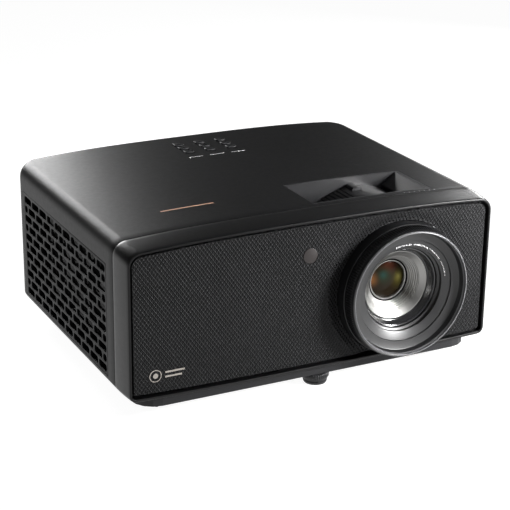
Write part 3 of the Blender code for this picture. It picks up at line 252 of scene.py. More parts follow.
def plastic(name, colour, roughness, grain=1500.0, depth=0.00004, strength=0.25, spread=0.025,
            specular=0.5, coat=0.0):
    """Moulded plastic: spark-eroded grain, uneven sheen and edges lightened as a painted
    highlight.
    """
    made, tree, shader, coordinates = new_material(name)
    cloudy = noise(tree, coordinates, 22.0, 4.0)
    fine = noise(tree, coordinates, grain, 2.0, 0.6)
    shade = mix(tree, remap(tree, cloudy, 0.0, 1.0), scaled(colour, 0.86), scaled(colour, 1.12))
    speck = mix(tree, remap(tree, fine, 0.0, 0.35, 0.45, 0.75), shade, scaled(colour, 1.8))
    # the base colour is lightened on convex edges: a painted edge highlight
    tree.links.new(edge_highlight(tree, speck, scaled(colour, 2.2)), shader.inputs["Base Color"])
    sheen = remap(tree, noise(tree, coordinates, 240.0, 5.0), roughness - spread,
                  roughness + spread)
    tree.links.new(sheen, shader.inputs["Roughness"])
    bump(tree, shader, fine, strength, depth)
    shader.inputs["Specular IOR Level"].default_value = specular
    shader.inputs["Coat Weight"].default_value = coat
    shader.inputs["Coat Roughness"].default_value = 0.12
    return made


def metal(name, colour, roughness, grain=900.0, strength=0.1, stretch=(1.0, 1.0, 1.0)):
    """Bare metal with a fine stretched brushing and cloudy roughness."""
    made, tree, shader, coordinates = new_material(name)
    mapping = tree.nodes.new("ShaderNodeMapping")
    mapping.inputs["Scale"].default_value = stretch
    tree.links.new(coordinates, mapping.inputs["Vector"])
    brushing = noise(tree, mapping.outputs["Vector"], grain, 2.0)
    cloudy = noise(tree, coordinates, 35.0, 4.0)
    tint = mix(tree, remap(tree, cloudy, 0.0, 1.0), scaled(colour, 0.88), scaled(colour, 1.06))
    tree.links.new(tint, shader.inputs["Base Color"])
    tree.links.new(remap(tree, brushing, roughness * 0.75, roughness * 1.3),
                   shader.inputs["Roughness"])
    bump(tree, shader, brushing, strength, 0.00003)
    shader.inputs["Metallic"].default_value = 1.0
    return made


def turned_metal(name, colour, roughness, axis_point, pitch=0.35, strength=0.12):
    """Metal turned about the lens axis, with fine rings left by the tool."""
    made, tree, shader, coordinates = new_material(name)
    mapping = tree.nodes.new("ShaderNodeMapping")
    mapping.inputs["Location"].default_value = -Vector(axis_point)
    tree.links.new(coordinates, mapping.inputs["Vector"])
    rings = tree.nodes.new("ShaderNodeTexWave")
    rings.wave_type = "RINGS"
    rings.rings_direction = "Y"
    rings.inputs["Scale"].default_value = 1.0 / (pitch * MM * 20)
    rings.inputs["Distortion"].default_value = 0.6
    tree.links.new(mapping.outputs["Vector"], rings.inputs["Vector"])
    cloudy = noise(tree, coordinates, 60.0, 4.0)
    tint = mix(tree, remap(tree, cloudy, 0.0, 1.0), scaled(colour, 0.92), scaled(colour, 1.05))
    tree.links.new(tint, shader.inputs["Base Color"])
    tree.links.new(remap(tree, cloudy, roughness * 0.8, roughness * 1.25),
                   shader.inputs["Roughness"])
    bump(tree, shader, rings.outputs["Fac"], strength, 0.00003)
    shader.inputs["Metallic"].default_value = 1.0
    return made


def circuit_board(name):
    """Green solder mask over copper tracks that show as a slightly lighter pattern."""
    made, tree, shader, coordinates = new_material(name)
    tracks = tree.nodes.new("ShaderNodeTexBrick")
    tracks.inputs["Scale"].default_value = 160.0
    tracks.inputs["Mortar Size"].default_value = 0.03
    tree.links.new(coordinates, tracks.inputs["Vector"])
    tint = mix(tree, tracks.outputs["Fac"], (0.008, 0.10, 0.04), (0.02, 0.19, 0.09))
    cloudy = noise(tree, coordinates, 90.0)
    tree.links.new(tint, shader.inputs["Base Color"])
    tree.links.new(remap(tree, cloudy, 0.3, 0.5), shader.inputs["Roughness"])
    bump(tree, shader, tracks.outputs["Fac"], 0.3, 0.00005)
    return made


def blob(tree, coordinates, centre, radius):
    """1 at a point and 0 beyond a radius, in object metres."""
    mapping = tree.nodes.new("ShaderNodeMapping")
    mapping.inputs["Scale"].default_value = (1 / radius, 1 / radius, 1 / radius)
    mapping.inputs["Location"].default_value = [-value / radius for value in centre]
    tree.links.new(coordinates, mapping.inputs["Vector"])
    gradient = tree.nodes.new("ShaderNodeTexGradient")
    gradient.gradient_type = "QUADRATIC_SPHERE"
    tree.links.new(mapping.outputs["Vector"], gradient.inputs["Vector"])
    return gradient.outputs["Fac"]


def coated_glass(name, centre, radius):
    """Coated front element: green-brown depths with amber, olive and teal patches painted on as
    the coating's reflections.
    """
    made, tree, shader, coordinates = new_material(name)
    shade = (0.010, 0.007, 0.004)
    # amber, olive and teal patches placed about the lens: painted reflections of the coating
    painted_reflections = (
        ((0.15, 0.0, 1.0), 0.95, (0.07, 0.020, 0.012)),
        ((-1.0, 0.0, 0.1), 0.65, (0.16, 0.065, 0.02)),
        ((0.80, 0.0, 0.0), 0.85, (0.06, 0.052, 0.010)),
        ((0.66, 0.0, 0.10), 0.42, (0.10, 0.088, 0.025)),
        ((-0.25, 0.0, 0.28), 0.75, (0.010, 0.022, 0.013)),
        ((-0.30, 0.0, 0.32), 0.36, (0.010, 0.028, 0.025)),
    )
    colour = shade
    for offset, size, tint in painted_reflections:
        place = [centre[axis] + offset[axis] * radius for axis in range(3)]
        place[1] = centre[1]
        colour = mix(tree, blob(tree, coordinates, place, size * radius), colour, tint)
    tree.links.new(colour, shader.inputs["Base Color"])
    smear = noise(tree, coordinates, 120.0, 4.0)
    tree.links.new(remap(tree, smear, 0.04, 0.08), shader.inputs["Roughness"])
    shader.inputs["Coat Weight"].default_value = 0.04
    shader.inputs["Coat Roughness"].default_value = 0.05
    shader.inputs["Specular IOR Level"].default_value = 0.06
    return made


LENS_CENTRE = at(LENS_X, 0, LENS_HEIGHT)

CASE = plastic("case_plastic", (0.0040, 0.0040, 0.0043), 0.42, 1900.0, specular=0.13)
BEZEL = plastic("bezel_plastic", (0.0040, 0.0040, 0.0043), 0.36, 2200.0, strength=0.12,
                specular=0.24)
UNDERSIDE = plastic("underside_plastic", (0.009, 0.009, 0.010), 0.55, 1300.0, 0.00008,
                    specular=0.3)
GRILLE = plastic("grille_plastic", (0.0045, 0.0045, 0.0048), 0.42, 1900.0, specular=0.08)
PANEL = plastic("panel_plastic", (0.0130, 0.0130, 0.0135), 0.42, 2600.0, strength=0.1,
                specular=0.13)
# near-black painted shade for the panel's holes and the trim groove
HOLE_SHADE = plastic("hole_painted_shade", (0.003, 0.003, 0.003), 0.9, 1500.0, specular=0.1)
WELL = plastic("well_plastic", (0.014, 0.014, 0.015), 0.34, 2200.0, strength=0.1)
KEY = plastic("key_plastic", (0.008, 0.008, 0.009), 0.42, 2000.0, specular=0.18)
RUBBER = plastic("foot_rubber", (0.010, 0.010, 0.010), 0.75, 900.0, 0.0001, specular=0.2)
FOOT = plastic("foot_plastic", (0.010, 0.010, 0.011), 0.45, 1500.0, specular=0.3)
RING_BLACK = plastic("lens_plastic", (0.005, 0.005, 0.0055), 0.38, 2400.0, strength=0.1,
                     specular=0.3)
RING_GREY = plastic("lens_ring_plastic", (0.012, 0.012, 0.0125), 0.36, 2400.0, strength=0.1)
LIP_GREY = plastic("lip_plastic", (0.075, 0.075, 0.078), 0.32, 2400.0, strength=0.08)
GLOSS_RING = plastic("gloss_ring", (0.012, 0.012, 0.013), 0.18, 2400.0, strength=0.05,
                     spread=0.04, coat=0.6)
INLET = plastic("inlet_plastic", (0.014, 0.014, 0.015), 0.5, 1500.0)
FAN = plastic("fan_plastic", (0.020, 0.020, 0.020), 0.45, 1300.0)
WHITE_MARK = plastic("white_print", (0.20, 0.20, 0.20), 0.5, 2600.0, strength=0.05)
COPPER_MARK = plastic("copper_print", (0.55, 0.27, 0.18), 0.42, 2600.0, strength=0.05)
GREY_MARK = plastic("grey_print", (0.22, 0.20, 0.18), 0.5, 2600.0, strength=0.05)
LIGHT_WHITE = plastic("light_white", (0.92, 0.92, 0.93), 0.35, 1500.0, strength=0.05)
IR_GLASS = plastic("ir_tinted", (0.012, 0.0085, 0.008), 0.40, 900.0, strength=0.1, spread=0.05)
SUPPLY = plastic("supply_board", (0.26, 0.19, 0.07), 0.5, 600.0)
PHOSPHOR = plastic("phosphor_yellow", (0.75, 0.62, 0.12), 0.4, 1200.0)
CLEAR = coated_glass("inner_glass_painted_reflections", LENS_CENTRE, 30 * MM)
GLASS = coated_glass("coated_glass", at(LENS_X, 22, LENS_HEIGHT), 16.6 * MM)
TRIM = turned_metal("trim_chrome", (0.30, 0.297, 0.288), 0.38, LENS_CENTRE, strength=0.03)
CELL = turned_metal("cell_metal", (0.09, 0.09, 0.095), 0.26, LENS_CENTRE)
STEEL = metal("socket_metal", (0.62, 0.62, 0.60), 0.28, stretch=(1.0, 0.1, 1.0))
SCREW_STEEL = metal("screw_steel", (0.50, 0.50, 0.51), 0.32)
GOLD = metal("contact_gold", (0.85, 0.62, 0.25), 0.25)
FINS = metal("fin_aluminium", (0.72, 0.72, 0.74), 0.32, stretch=(1.0, 1.0, 0.1))
CAST = metal("cast_aluminium", (0.42, 0.42, 0.43), 0.48, 500.0, 0.35)
BRASS = metal("laser_brass", (0.62, 0.50, 0.28), 0.35)
BOARD = circuit_board("circuit_board")

# ---------------------------------------------------------------- mesh helpers


def to_mesh(work, name):
    """Mesh from a bmesh, which is freed."""
    mesh = bpy.data.meshes.new(name)
    work.to_mesh(mesh)
    work.free()
    return mesh


def clean(mesh):
    """Weld coincident points and point the faces outwards."""
    work = bmesh.new()
    work.from_mesh(mesh)
    bmesh.ops.remove_doubles(work, verts=work.verts, dist=1e-7)
    bmesh.ops.recalc_face_normals(work, faces=work.faces)
    work.to_mesh(mesh)
    work.free()
    return mesh


def evaluated(holder):
    """Mesh of an object after its modifiers; the object and its first mesh are removed."""
    if holder.name not in bpy.context.scene.collection.objects:
        bpy.context.scene.collection.objects.link(holder)
    graph = bpy.context.evaluated_depsgraph_get()
    result = bpy.data.meshes.new_from_object(holder.evaluated_get(graph))
    bpy.data.objects.remove(holder, do_unlink=True)
    return result


def combine(base, tool, operation):
    """Boolean of two closed meshes."""
    helper = bpy.data.objects.new("tool", tool)
    bpy.context.scene.collection.objects.link(helper)
    holder = bpy.data.objects.new("work", base)
    change = holder.modifiers.new("change", "BOOLEAN")
    change.operation = operation
    change.solver = "EXACT"
    change.object = helper
    result = evaluated(holder)
    bpy.data.objects.remove(helper, do_unlink=True)
    return result


def cut(base, *tools):
    """The base with every tool taken out of it, in turn."""
    for tool in tools:
        base = combine(base, tool, "DIFFERENCE")
    return base


def gathered(meshes):
    """Several meshes as one, without joining their surfaces."""
    work = bmesh.new()
    for mesh in meshes:
        work.from_mesh(mesh)
    return to_mesh(work, "gathered")


def around(centre, width):
    """Both ends of a width about its middle."""
    return centre - width / 2, centre + width / 2


def block(x_range, d_range, h_range, bevel=0.0, segments=3):
    """A block between two values on each axis, with its edges rounded if asked."""
    low = at(x_range[0], d_range[0], h_range[0])
    high = at(x_range[1], d_range[1], h_range[1])
    work = bmesh.new()
    bmesh.ops.create_cube(work, size=1.0)
    bmesh.ops.scale(work, vec=high - low, verts=work.verts)
    bmesh.ops.translate(work, vec=(low + high) / 2, verts=work.verts)
    if bevel:
        bmesh.ops.bevel(work, geom=work.edges[:], offset=bevel * MM, segments=segments,
                        profile=0.5, affect="EDGES")
    return to_mesh(work, "block")


def facing_back(x, h):
    """Matrix for a shape made along Z that then runs back, about the line at x and h."""
    return Matrix.Translation(at(x, 0, h)) @ Matrix.Rotation(-math.pi / 2, 4, "X")


def facing_up(x, d):
    """Matrix for a shape made along Z that stays upright, about the line at x and d."""
    return Matrix.Translation(at(x, d, 0))


LENS_AXIS = facing_back(LENS_X, LENS_HEIGHT)


def revolve(profile, matrix=LENS_AXIS, steps=128, ribs=0, rib_height=0.0):
    """Solid of revolution from (radius, along, ribbed) points, closed on itself.

    A ribbed point's radius rises and falls with the given number of ribs.
    """
    if ribs:
        steps = ribs * 4
    pattern = (0.0, 1.0, 1.0, 0.0)
    work = bmesh.new()
    rings = []
    for radius, along, *ribbed in profile:
        if radius == 0:
            rings.append([work.verts.new((0, 0, along * MM))] * steps)
            continue
        ring = []
        for step in range(steps):
            angle = math.tau * step / steps
            rise = rib_height * pattern[step % 4] if ribbed and ribbed[0] else 0.0
            reach = (radius + rise) * MM
            ring.append(work.verts.new((reach * math.cos(angle), reach * math.sin(angle),
                                        along * MM)))
        rings.append(ring)
    pairs = list(zip(rings, rings[1:]))
    if profile[0][0] > 0 and profile[-1][0] > 0:
        pairs.append((rings[-1], rings[0]))
    for first, second in pairs:
        for step in range(steps):
            following = (step + 1) % steps
            corners = []
            for vert in (first[step], first[following], second[following], second[step]):
                if vert not in corners:
                    corners.append(vert)
            if len(corners) > 2:
                work.faces.new(corners)
    work.transform(matrix)
    bmesh.ops.recalc_face_normals(work, faces=work.faces)
    return to_mesh(work, "revolved")


def rod(radius, first, last, matrix=LENS_AXIS, steps=128):
    """Solid round bar between two places along an axis."""
    return revolve([(0, first), (radius, first), (radius, last), (0, last)], matrix, steps)


def loft(rings):
    """Closed solid through rings of points, each with the same count."""
    work = bmesh.new()
    rings = [[work.verts.new(point) for point in ring] for ring in rings]
    count = len(rings[0])
    for near, far in zip(rings, rings[1:]):
        for index in range(count):
            following = (index + 1) % count
            work.faces.new((near[index], near[following], far[following], far[index]))
    work.faces.new(rings[0])
    work.faces.new(rings[-1])
    bmesh.ops.recalc_face_normals(work, faces=work.faces)
    return to_mesh(work, "loft")


def rounded_points(half_width, half_height, radius, steps=6):
    """Round-cornered rectangle about the origin, anticlockwise."""
    points = []
    for corner_x, corner_y, first in ((1, 1, 0), (-1, 1, 90), (-1, -1, 180), (1, -1, 270)):
        for step in range(steps + 1):
            angle = math.radians(first + 90 * step / steps)
            points.append((corner_x * (half_width - radius) + radius * math.cos(angle),
                           corner_y * (half_height - radius) + radius * math.sin(angle)))
    return points


def plate(outlines, thickness, matrix, bevel=0.0, resolution=2):
    """A flat plate from one outer outline and any holes in it, in millimetres.

    The plate lies in the matrix's XY plane, from z = 0 down to -thickness, and the bevel
    rounds its edges inside its stated size.
    """
    curve = bpy.data.curves.new("plate", "CURVE")
    curve.dimensions = "2D"
    curve.fill_mode = "BOTH"
    curve.extrude = thickness / 2 * MM - bevel * MM
    curve.bevel_depth = bevel * MM
    curve.bevel_resolution = resolution
    curve.offset = -bevel * MM
    for outline in outlines:
        spline = curve.splines.new("POLY")
        spline.points.add(len(outline) - 1)
        for point, (a, b) in zip(spline.points, outline):
            point.co = (a * MM, b * MM, 0, 1)
        spline.use_cyclic_u = True
    holder = bpy.data.objects.new("plate", curve)
    mesh = evaluated(holder)
    mesh.transform(matrix @ Matrix.Translation((0, 0, -thickness / 2 * MM)))
    return clean(mesh)


def facing_rear(x, d, h):
    """Matrix for a plate whose face looks to the back, its X to the left."""
    return (Matrix.Translation(at(x, d, h)) @ Matrix.Rotation(math.pi, 4, "Z")
            @ Matrix.Rotation(math.pi / 2, 4, "X"))


def facing_side(side, x, d, h):
    """Matrix for a plate whose face looks out of a side; its X runs back on the left."""
    turn = Matrix.Rotation(side * math.pi / 2, 4, "Z") @ Matrix.Rotation(math.pi / 2, 4, "X")
    return Matrix.Translation(at(x, d, h)) @ turn


def piece(name, mesh, look, body="case", nodes=(), smooth=32.0, extra=()):
    """Make a mesh a piece of the model: its material, the body it rides and what it replaces."""
    mesh.name = name
    if smooth:
        mesh.shade_smooth()
        mesh.set_sharp_from_angle(angle=math.radians(smooth))
    if not mesh.materials:
        mesh.materials.append(look)
    else:
        mesh.materials[0] = look
    for more in extra:
        mesh.materials.append(more)
    made = bpy.data.objects.new(name, mesh)
    bpy.context.scene.collection.objects.link(made)
    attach(made, body)
    if nodes:
        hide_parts(*nodes)
    return made


# ---------------------------------------------------------------- the case's outer form

def section_sizes(d, inset):
    """Half width, underside and top of the case at a depth, this far inside its skin."""
    along_flare = min(max(d / SEAM_DEPTH, 0.0), 1.0)
    flare = FLARE * (1 - (1 - along_flare) ** 2)
    half_width = RIM_HALF_WIDTH + flare - inset
    top = RIM_HEIGHT + flare - inset
    bottom = inset
    bend_start = BODY_DEPTH - PLAN_RADIUS
    if d > bend_start:
        share = min((d - bend_start) / (PLAN_RADIUS - inset), 1.0)
        half_width -= (PLAN_RADIUS - inset) * (1 - math.sqrt(1 - share ** 2))
    edge_start = BODY_DEPTH - REAR_EDGE_RADIUS
    if d > edge_start:
        radius = max(REAR_EDGE_RADIUS - inset, 0.5)
        share = min((d - edge_start) / radius, 1.0)
        fall = radius * (1 - math.sqrt(1 - share ** 2))
        top -= fall
        bottom += fall
    return half_width, bottom, top


def crowned_edge(half_width, reach, sag):
    """Half of a long edge and its round corner, as (x, distance in from the edge)."""
    flat_steps = 12
    across = [reach * step / flat_steps for step in range(flat_steps)]
    points = [(x, sag * (x / half_width) ** 3) for x in across]
    radius = half_width - reach
    corner_sag = sag * (reach / half_width) ** 3
    corner_steps = 10
    for step in range(corner_steps + 1):
        angle = math.pi / 2 * (1 - step / corner_steps)
        points.append((reach + radius * math.cos(angle),
                       corner_sag + radius * (1 - math.sin(angle))))
    return points


def outline(d, inset, extra=0.0):
    """Crowned, round-cornered outline of the case at a depth, as (x, h) points."""
    half_width, bottom, top = section_sizes(d, inset + extra)
    over = half_width - max(CORNER_RADIUS - inset - extra, 1.5)
    under = half_width - max(UNDER_RADIUS - inset - extra, 1.5)
    right_top = [(x, top - fall) for x, fall in crowned_edge(half_width, over, CROWN)]
    right_bottom = [(x, bottom + rise) for x, rise in crowned_edge(half_width, under, BELLY)]
    right = right_top + right_bottom[::-1]
    left = [(-x, h) for x, h in reversed(right) if x > 0]
    return right + left


def hull(stations, inset=0.0):
    """Closed loft through the case's outlines at (depth, extra inset) stations."""
    return loft([[at(x, d, h) for x, h in outline(d, inset, extra)] for d, extra in stations])


def soft_start(d, radius=SOFT_EDGE, steps=3):
    """Stations that round the front edge of a hull that begins at a depth."""
    angles = [math.pi / 2 * step / steps for step in range(steps + 1)]
    return [(d + radius * (1 - math.cos(angle)), radius * (1 - math.sin(angle)))
            for angle in angles]


def soft_end(d, radius=SOFT_EDGE, steps=3):
    """Stations that round the back edge of a hull that ends at a depth."""
    return [(d - along, extra) for along, extra in reversed(soft_start(0, radius, steps))]


def body_stations(first, inset, pitch=9.0):
    """Stations from a first depth through the body to its rounded back."""
    bend = BODY_DEPTH - PLAN_RADIUS
    count = int((bend - first) / pitch)
    stations = [(first + (bend - first) * step / count, 0.0) for step in range(1, count)]
    radius = PLAN_RADIUS - inset
    turns = 16
    stations += [(bend + radius * math.sin(math.pi / 2 * step / turns), 0.0)
                 for step in range(turns + 1)]
    return stations


WIDE = BODY_HALF_WIDTH + 20
ABOVE = (BODY_TOP - WALL - 4, BODY_TOP + 5)


def upright_plug(outline_points, h_range):
    """Closed prism of an (x, d) outline between two heights."""
    return loft([[at(x, d, h) for x, d in outline_points] for h in h_range])


def moved(points, x, d):
    """An outline shifted in its plane."""
    return [(x + a, d + b) for a, b in points]


def make_cover():
    """Top cover with its sides and back, one shell with all its openings."""
    front = SEAM_DEPTH + GAP / 2
    cover = hull(soft_start(front) + body_stations(front, 0.0))
    inside = hull([(front - 2, 0.0)] + body_stations(front, WALL), WALL)
    below = block((-WIDE, WIDE), (-10, BODY_DEPTH + 10), (-30, PARTING_HEIGHT + GAP / 2))
    tools = [inside, below]
    for side in (-1, 1):
        reach = sorted((side * (BODY_HALF_WIDTH - WALL - 3), side * WIDE))
        tools.append(block(reach, VENT_DEPTHS, VENT_HEIGHTS))
    tools.append(block((-REAR_WINDOW_X, REAR_WINDOW_X),
                       (BODY_DEPTH - WALL - 3, BODY_DEPTH + 5), REAR_WINDOW_HEIGHTS))
    tools.append(block(WELL_X, WELL_DEPTHS, ABOVE))
    openings = []
    key_hole = rounded_points(KEY_SIZE[0] / 2 + KEY_CLEARANCE, KEY_SIZE[1] / 2 + KEY_CLEARANCE,
                              1.8, 4)
    bar_hole = rounded_points(LIGHT_BAR[0] / 2 + GAP, LIGHT_BAR[1] / 2 + GAP, 0.9, 3)
    for x in KEY_COLUMNS:
        for d in KEY_DEPTHS:
            openings.append(upright_plug(moved(key_hole, x, d), ABOVE))
        openings.append(upright_plug(moved(bar_hole, x, LIGHT_BAR_DEPTH), ABOVE))
    tools.append(gathered(openings))
    piece("cover_shell", cut(cover, *tools), CASE, nodes=["top_cover"])


def make_bezel():
    """Front frame with a rounded rim and the flange the panel seats on."""
    back = SEAM_DEPTH - GAP / 2
    stations = soft_start(0.0, 0.8, 4) + [(d, 0.0) for d in (4.0, 9.0, 14.0, 19.0, 23.0)]
    bezel = hull(stations + soft_end(back, 0.35))
    flange_back = FLANGE_DEPTH + FLANGE_THICKNESS
    mouth = hull([(-1.0, -0.5), (0.0, -0.5), (0.5, 0.0), (FLANGE_DEPTH, 0.0)], RIM_WALL)
    hollow = hull([(FLANGE_DEPTH - 1, 0.0), (flange_back + 1, 0.0)], FLANGE_INSET)
    room = hull([(flange_back, 0.0), (17.0, 0.0), (SEAM_DEPTH + 1, 0.0)], RIM_WALL)
    clear = DISH_RADIUS + DISH_WALL + 1.0
    plug = rod(clear, FLANGE_DEPTH - 1, flange_back + 1)
    floor_cut = block((-WIDE, WIDE * 2), (-40, 60), (-90, RIM_WALL + 0.6))
    plug = combine(cut(plug, floor_cut),
                   hull([(FLANGE_DEPTH - 2, 0.0), (flange_back + 2, 0.0)], RIM_WALL + GAP),
                   "INTERSECT")
    stud = rod(STUD_HOLE_RADIUS, -3, RIM_WALL + 3, facing_up(*STUD_PLACE), 32)
    piece("bezel_frame", cut(bezel, mouth, hollow, room, plug, stud), BEZEL,
          nodes=["front_bezel"])


# ---------------------------------------------------------------- dimpled front panel

def dish_sink(x, h):
    """How far the panel's face sinks towards the lens, most on the upper left of it."""
    across, up = x - LENS_X, h - LENS_HEIGHT
    radius = max(math.hypot(across, up), 1.0)
    share = min(max((DISH_RADIUS - radius) / (DISH_RADIUS - PANEL_BORE), 0.0), 1.0)
    facing = (-0.95 * across + 0.31 * up) / radius
    amount = 0.35 + 0.65 * min(max(facing + 0.4, 0.0), 1.0)
    return DISH_FALL * amount * share * share * (3 - 2 * share)


def perforated(x, h):
    """Whether the panel has holes here, sunk and painted black as shade: a crescent on the upper
    left of the lens.
    """
    return math.hypot(x - LENS_X + 8.5, h - LENS_HEIGHT - 2.5) < 61.5


def pressed_face():
    """The panel's face: a field of diamonds, each with a sunk middle, as a closed slab.

    Near the lens the diamonds are deep and painted black inside as their shade, which makes them
    read as holes.
    """
    work = bmesh.new()
    half_x, half_h = DIMPLE_PITCH / 2, DIMPLE_ROW
    columns = int(RIM_HALF_WIDTH / DIMPLE_PITCH) + 1
    rows = int(RIM_HEIGHT / DIMPLE_ROW) + 2
    corners = {}

    def corner(column, row):
        """Shared point of the lattice of half pitches."""
        key = (column, row)
        if key not in corners:
            x, h = column * half_x, row * half_h
            corners[key] = work.verts.new(at(x, PANEL_FRONT + dish_sink(x, h), h))
        return corners[key]

    for row in range(-2, rows + 1):
        for column in range(-columns, columns + 1):
            middle = 2 * column + (row % 2)
            x, h = middle * half_x, row * half_h
            ring = [corner(middle + 1, row), corner(middle, row + 1),
                    corner(middle - 1, row), corner(middle, row - 1)]
            hole = perforated(x, h)
            share = HOLE_SHARE if hole else DIMPLE_SHARE
            floor = []
            for across, up in ((1, 0), (0, 1), (-1, 0), (0, -1)):
                px, ph = x + across * half_x * share, h + up * half_h * share
                level = PANEL_FRONT + dish_sink(px, ph)
                floor.append((px, ph, level))
            # the deep part of each hole takes material 1, the near-black painted shade
            steps = ((HOLE_LIP, 0), (HOLE_SINK, 1)) if hole else ((DIMPLE_SINK, 0),)
            for sink, look_index in steps:
                inner = [work.verts.new(at(px, level + sink, ph)) for px, ph, level in floor]
                for side in range(4):
                    following = (side + 1) % 4
                    face = work.faces.new((ring[side], ring[following], inner[following],
                                           inner[side]))
                    face.material_index = look_index
                ring = inner
            work.faces.new(ring).material_index = look_index
    return work


def make_front_panel():
    """Textured panel that sinks round the lens, cut out for the lens and the window."""
    work = pressed_face()
    edge = [item for item in work.edges if len(item.link_faces) == 1]
    pushed = bmesh.ops.extrude_edge_only(work, edges=edge)
    rim = [item for item in pushed["geom"] if isinstance(item, bmesh.types.BMVert)]
    back_y = (DISH_DEPTH + DISH_WALL + 6 + FRONT_Y) * MM
    for vert in rim:
        vert.co.y = back_y
    far = [item for item in pushed["geom"] if isinstance(item, bmesh.types.BMEdge)
           and len(item.link_faces) == 1]
    bmesh.ops.contextual_create(work, geom=far)
    bmesh.ops.recalc_face_normals(work, faces=work.faces)
    slab = to_mesh(work, "slab")
    for look in (PANEL, HOLE_SHADE):
        slab.materials.append(look)
    dish_back = DISH_DEPTH + DISH_WALL
    keep = hull([(PANEL_FRONT - 1.5, 0.0), (PANEL_BACK, 0.0)], PANEL_INSET)
    boss = revolve([(0, PANEL_BACK - 1), (DISH_RADIUS + DISH_WALL, PANEL_BACK - 1),
                    (DISH_RADIUS + DISH_WALL - 2, PANEL_BACK + 1),
                    (PANEL_BORE + DISH_WALL + 1, dish_back), (0, dish_back)])
    boss = combine(boss, hull([(PANEL_BACK - 2, 0.0), (dish_back + 1, 0.0)],
                              PANEL_INSET + 0.1), "INTERSECT")
    keep = combine(keep, boss, "UNION")
    bore = rod(PANEL_BORE, -10, 30)
    window = rod(IR_RADIUS + GAP, -10, 30, facing_back(IR_X, IR_HEIGHT), 48)
    for look in (PANEL, HOLE_SHADE):
        keep.materials.append(look)
    panel = cut(combine(keep, slab, "INTERSECT"), gathered([bore, window]))
    piece("dimpled_panel", panel, PANEL, nodes=["front_panel"],
          smooth=None)
    disc = revolve([(0, PANEL_FRONT - 0.05), (IR_RADIUS - 0.5, PANEL_FRONT),
                    (IR_RADIUS - 0.15, PANEL_FRONT + 0.12), (IR_RADIUS, PANEL_FRONT + 0.45),
                    (IR_RADIUS, PANEL_BACK - 0.6), (0, PANEL_BACK - 0.6)],
                   facing_back(IR_X, IR_HEIGHT), 64)
    piece("ir_disc", disc, IR_GLASS, nodes=["ir_window"])


# ---------------------------------------------------------------- grilles

def slot_rows():
    """Every vent slot as (first depth, last depth, height), in alternating rows."""
    last = SLOT_FIRST_DEPTH + (SLOTS_IN_ROW - 1) * SLOT_PITCH + SLOT_LENGTH
    slots = []
    for row in range(SLOT_ROWS):
        height = SLOT_FIRST_HEIGHT + row * SLOT_ROW_PITCH
        shift = -SLOT_PITCH / 2 if row % 2 else 0.0
        for column in range(SLOTS_IN_ROW + row % 2):
            start = SLOT_FIRST_DEPTH + shift + column * SLOT_PITCH
            slots.append((max(start, SLOT_FIRST_DEPTH), min(start + SLOT_LENGTH, last), height))
    return slots


def make_grilles():
    """Slotted side panels with rounded slots in staggered rows."""
    middle_d = sum(VENT_DEPTHS) / 2
    middle_h = sum(VENT_HEIGHTS) / 2
    outer = rounded_points((VENT_DEPTHS[1] - VENT_DEPTHS[0]) / 2 - GAP,
                           (VENT_HEIGHTS[1] - VENT_HEIGHTS[0]) / 2 - GAP, 0.3, 1)
    for hand, side in (("left", -1), ("right", 1)):
        outlines = [outer]
        for first, last, height in slot_rows():
            half = (last - first) / 2
            shape = rounded_points(half, SLOT_HEIGHT / 2, min(2.6, half - 0.2), 5)
            centre = ((first + last) / 2 - middle_d) * side
            outlines.append(moved(shape, centre, height - middle_h))
        matrix = facing_side(side, side * BODY_HALF_WIDTH, middle_d, middle_h)
        mesh = plate(outlines, WALL, matrix, 0.3)
        piece(f"{hand}_grille", mesh, GRILLE, nodes=[f"{hand}_vent_grille"])


# ---------------------------------------------------------------- zoom well and dial

def across_prism(points, d_range):
    """Closed prism of an (x, h) outline pushed between two depths."""
    return loft([[at(x, d, h) for x, h in points] for d in d_range])


def top_height(x):
    """Height of the crowned top at a place across."""
    return BODY_TOP - CROWN * (abs(x) / BODY_HALF_WIDTH) ** 3


def make_well():
    """Recess for the zoom dial, with bright bevels along its left edge and its crease."""
    x0, x1 = WELL_X[0] + GAP, WELL_X[1] - GAP
    top = BODY_TOP - 0.3
    wall = x1 - WELL_WALL
    lip = top - WELL_SLOPE * (wall - WELL_SLOPE_END_X)
    under = WELL_WALL * math.hypot(1, WELL_SLOPE)
    d_range = (WELL_DEPTHS[0] + GAP, WELL_DEPTHS[1] - GAP)
    left = x0 + WELL_LEFT_BEVEL
    crease = 1.3
    space = [(x0 + 0.5, top + 1), (x0 + 0.5, top - 0.3), (left - 0.6, top - WELL_LEFT_BEVEL),
             (left, top - WELL_LEFT_BEVEL - 1.2), (left, WELL_BOTTOM_HEIGHT - 2),
             (WELL_SLOPE_END_X + 3, WELL_BOTTOM_HEIGHT - 2),
             (WELL_SLOPE_END_X + 3, lip - under - 0.5), (WELL_SLOPE_END_X - crease, lip - under),
             (WELL_SLOPE_END_X - crease, lip - crease),
             (WELL_SLOPE_END_X + crease, lip + WELL_SLOPE * crease), (wall, top),
             (wall, top + 1)]
    inner_range = (d_range[0] + WELL_WALL, d_range[1] - WELL_WALL)
    body = [(x0, WELL_BOTTOM_HEIGHT), (x1, WELL_BOTTOM_HEIGHT)]
    steps = 12
    for step in range(steps + 1):
        x = x1 + (x0 - x1) * step / steps
        body.append((x, top_height(x) - 0.15))
    well = cut(across_prism(body, d_range), across_prism(space, inner_range))
    piece("well_shell", well, WELL, nodes=["zoom_well"], smooth=20.0)


def lens_xh(radius, degrees):
    """Place across and up, at a radius and an angle about the lens axis."""
    angle = math.radians(degrees)
    return LENS_X + radius * math.cos(angle), LENS_HEIGHT + radius * math.sin(angle)


def lens_arc(radius, first, last, steps):
    """Places along an arc about the lens axis, between two angles."""
    return [lens_xh(radius, first + (last - first) * step / steps)
            for step in range(steps + 1)]


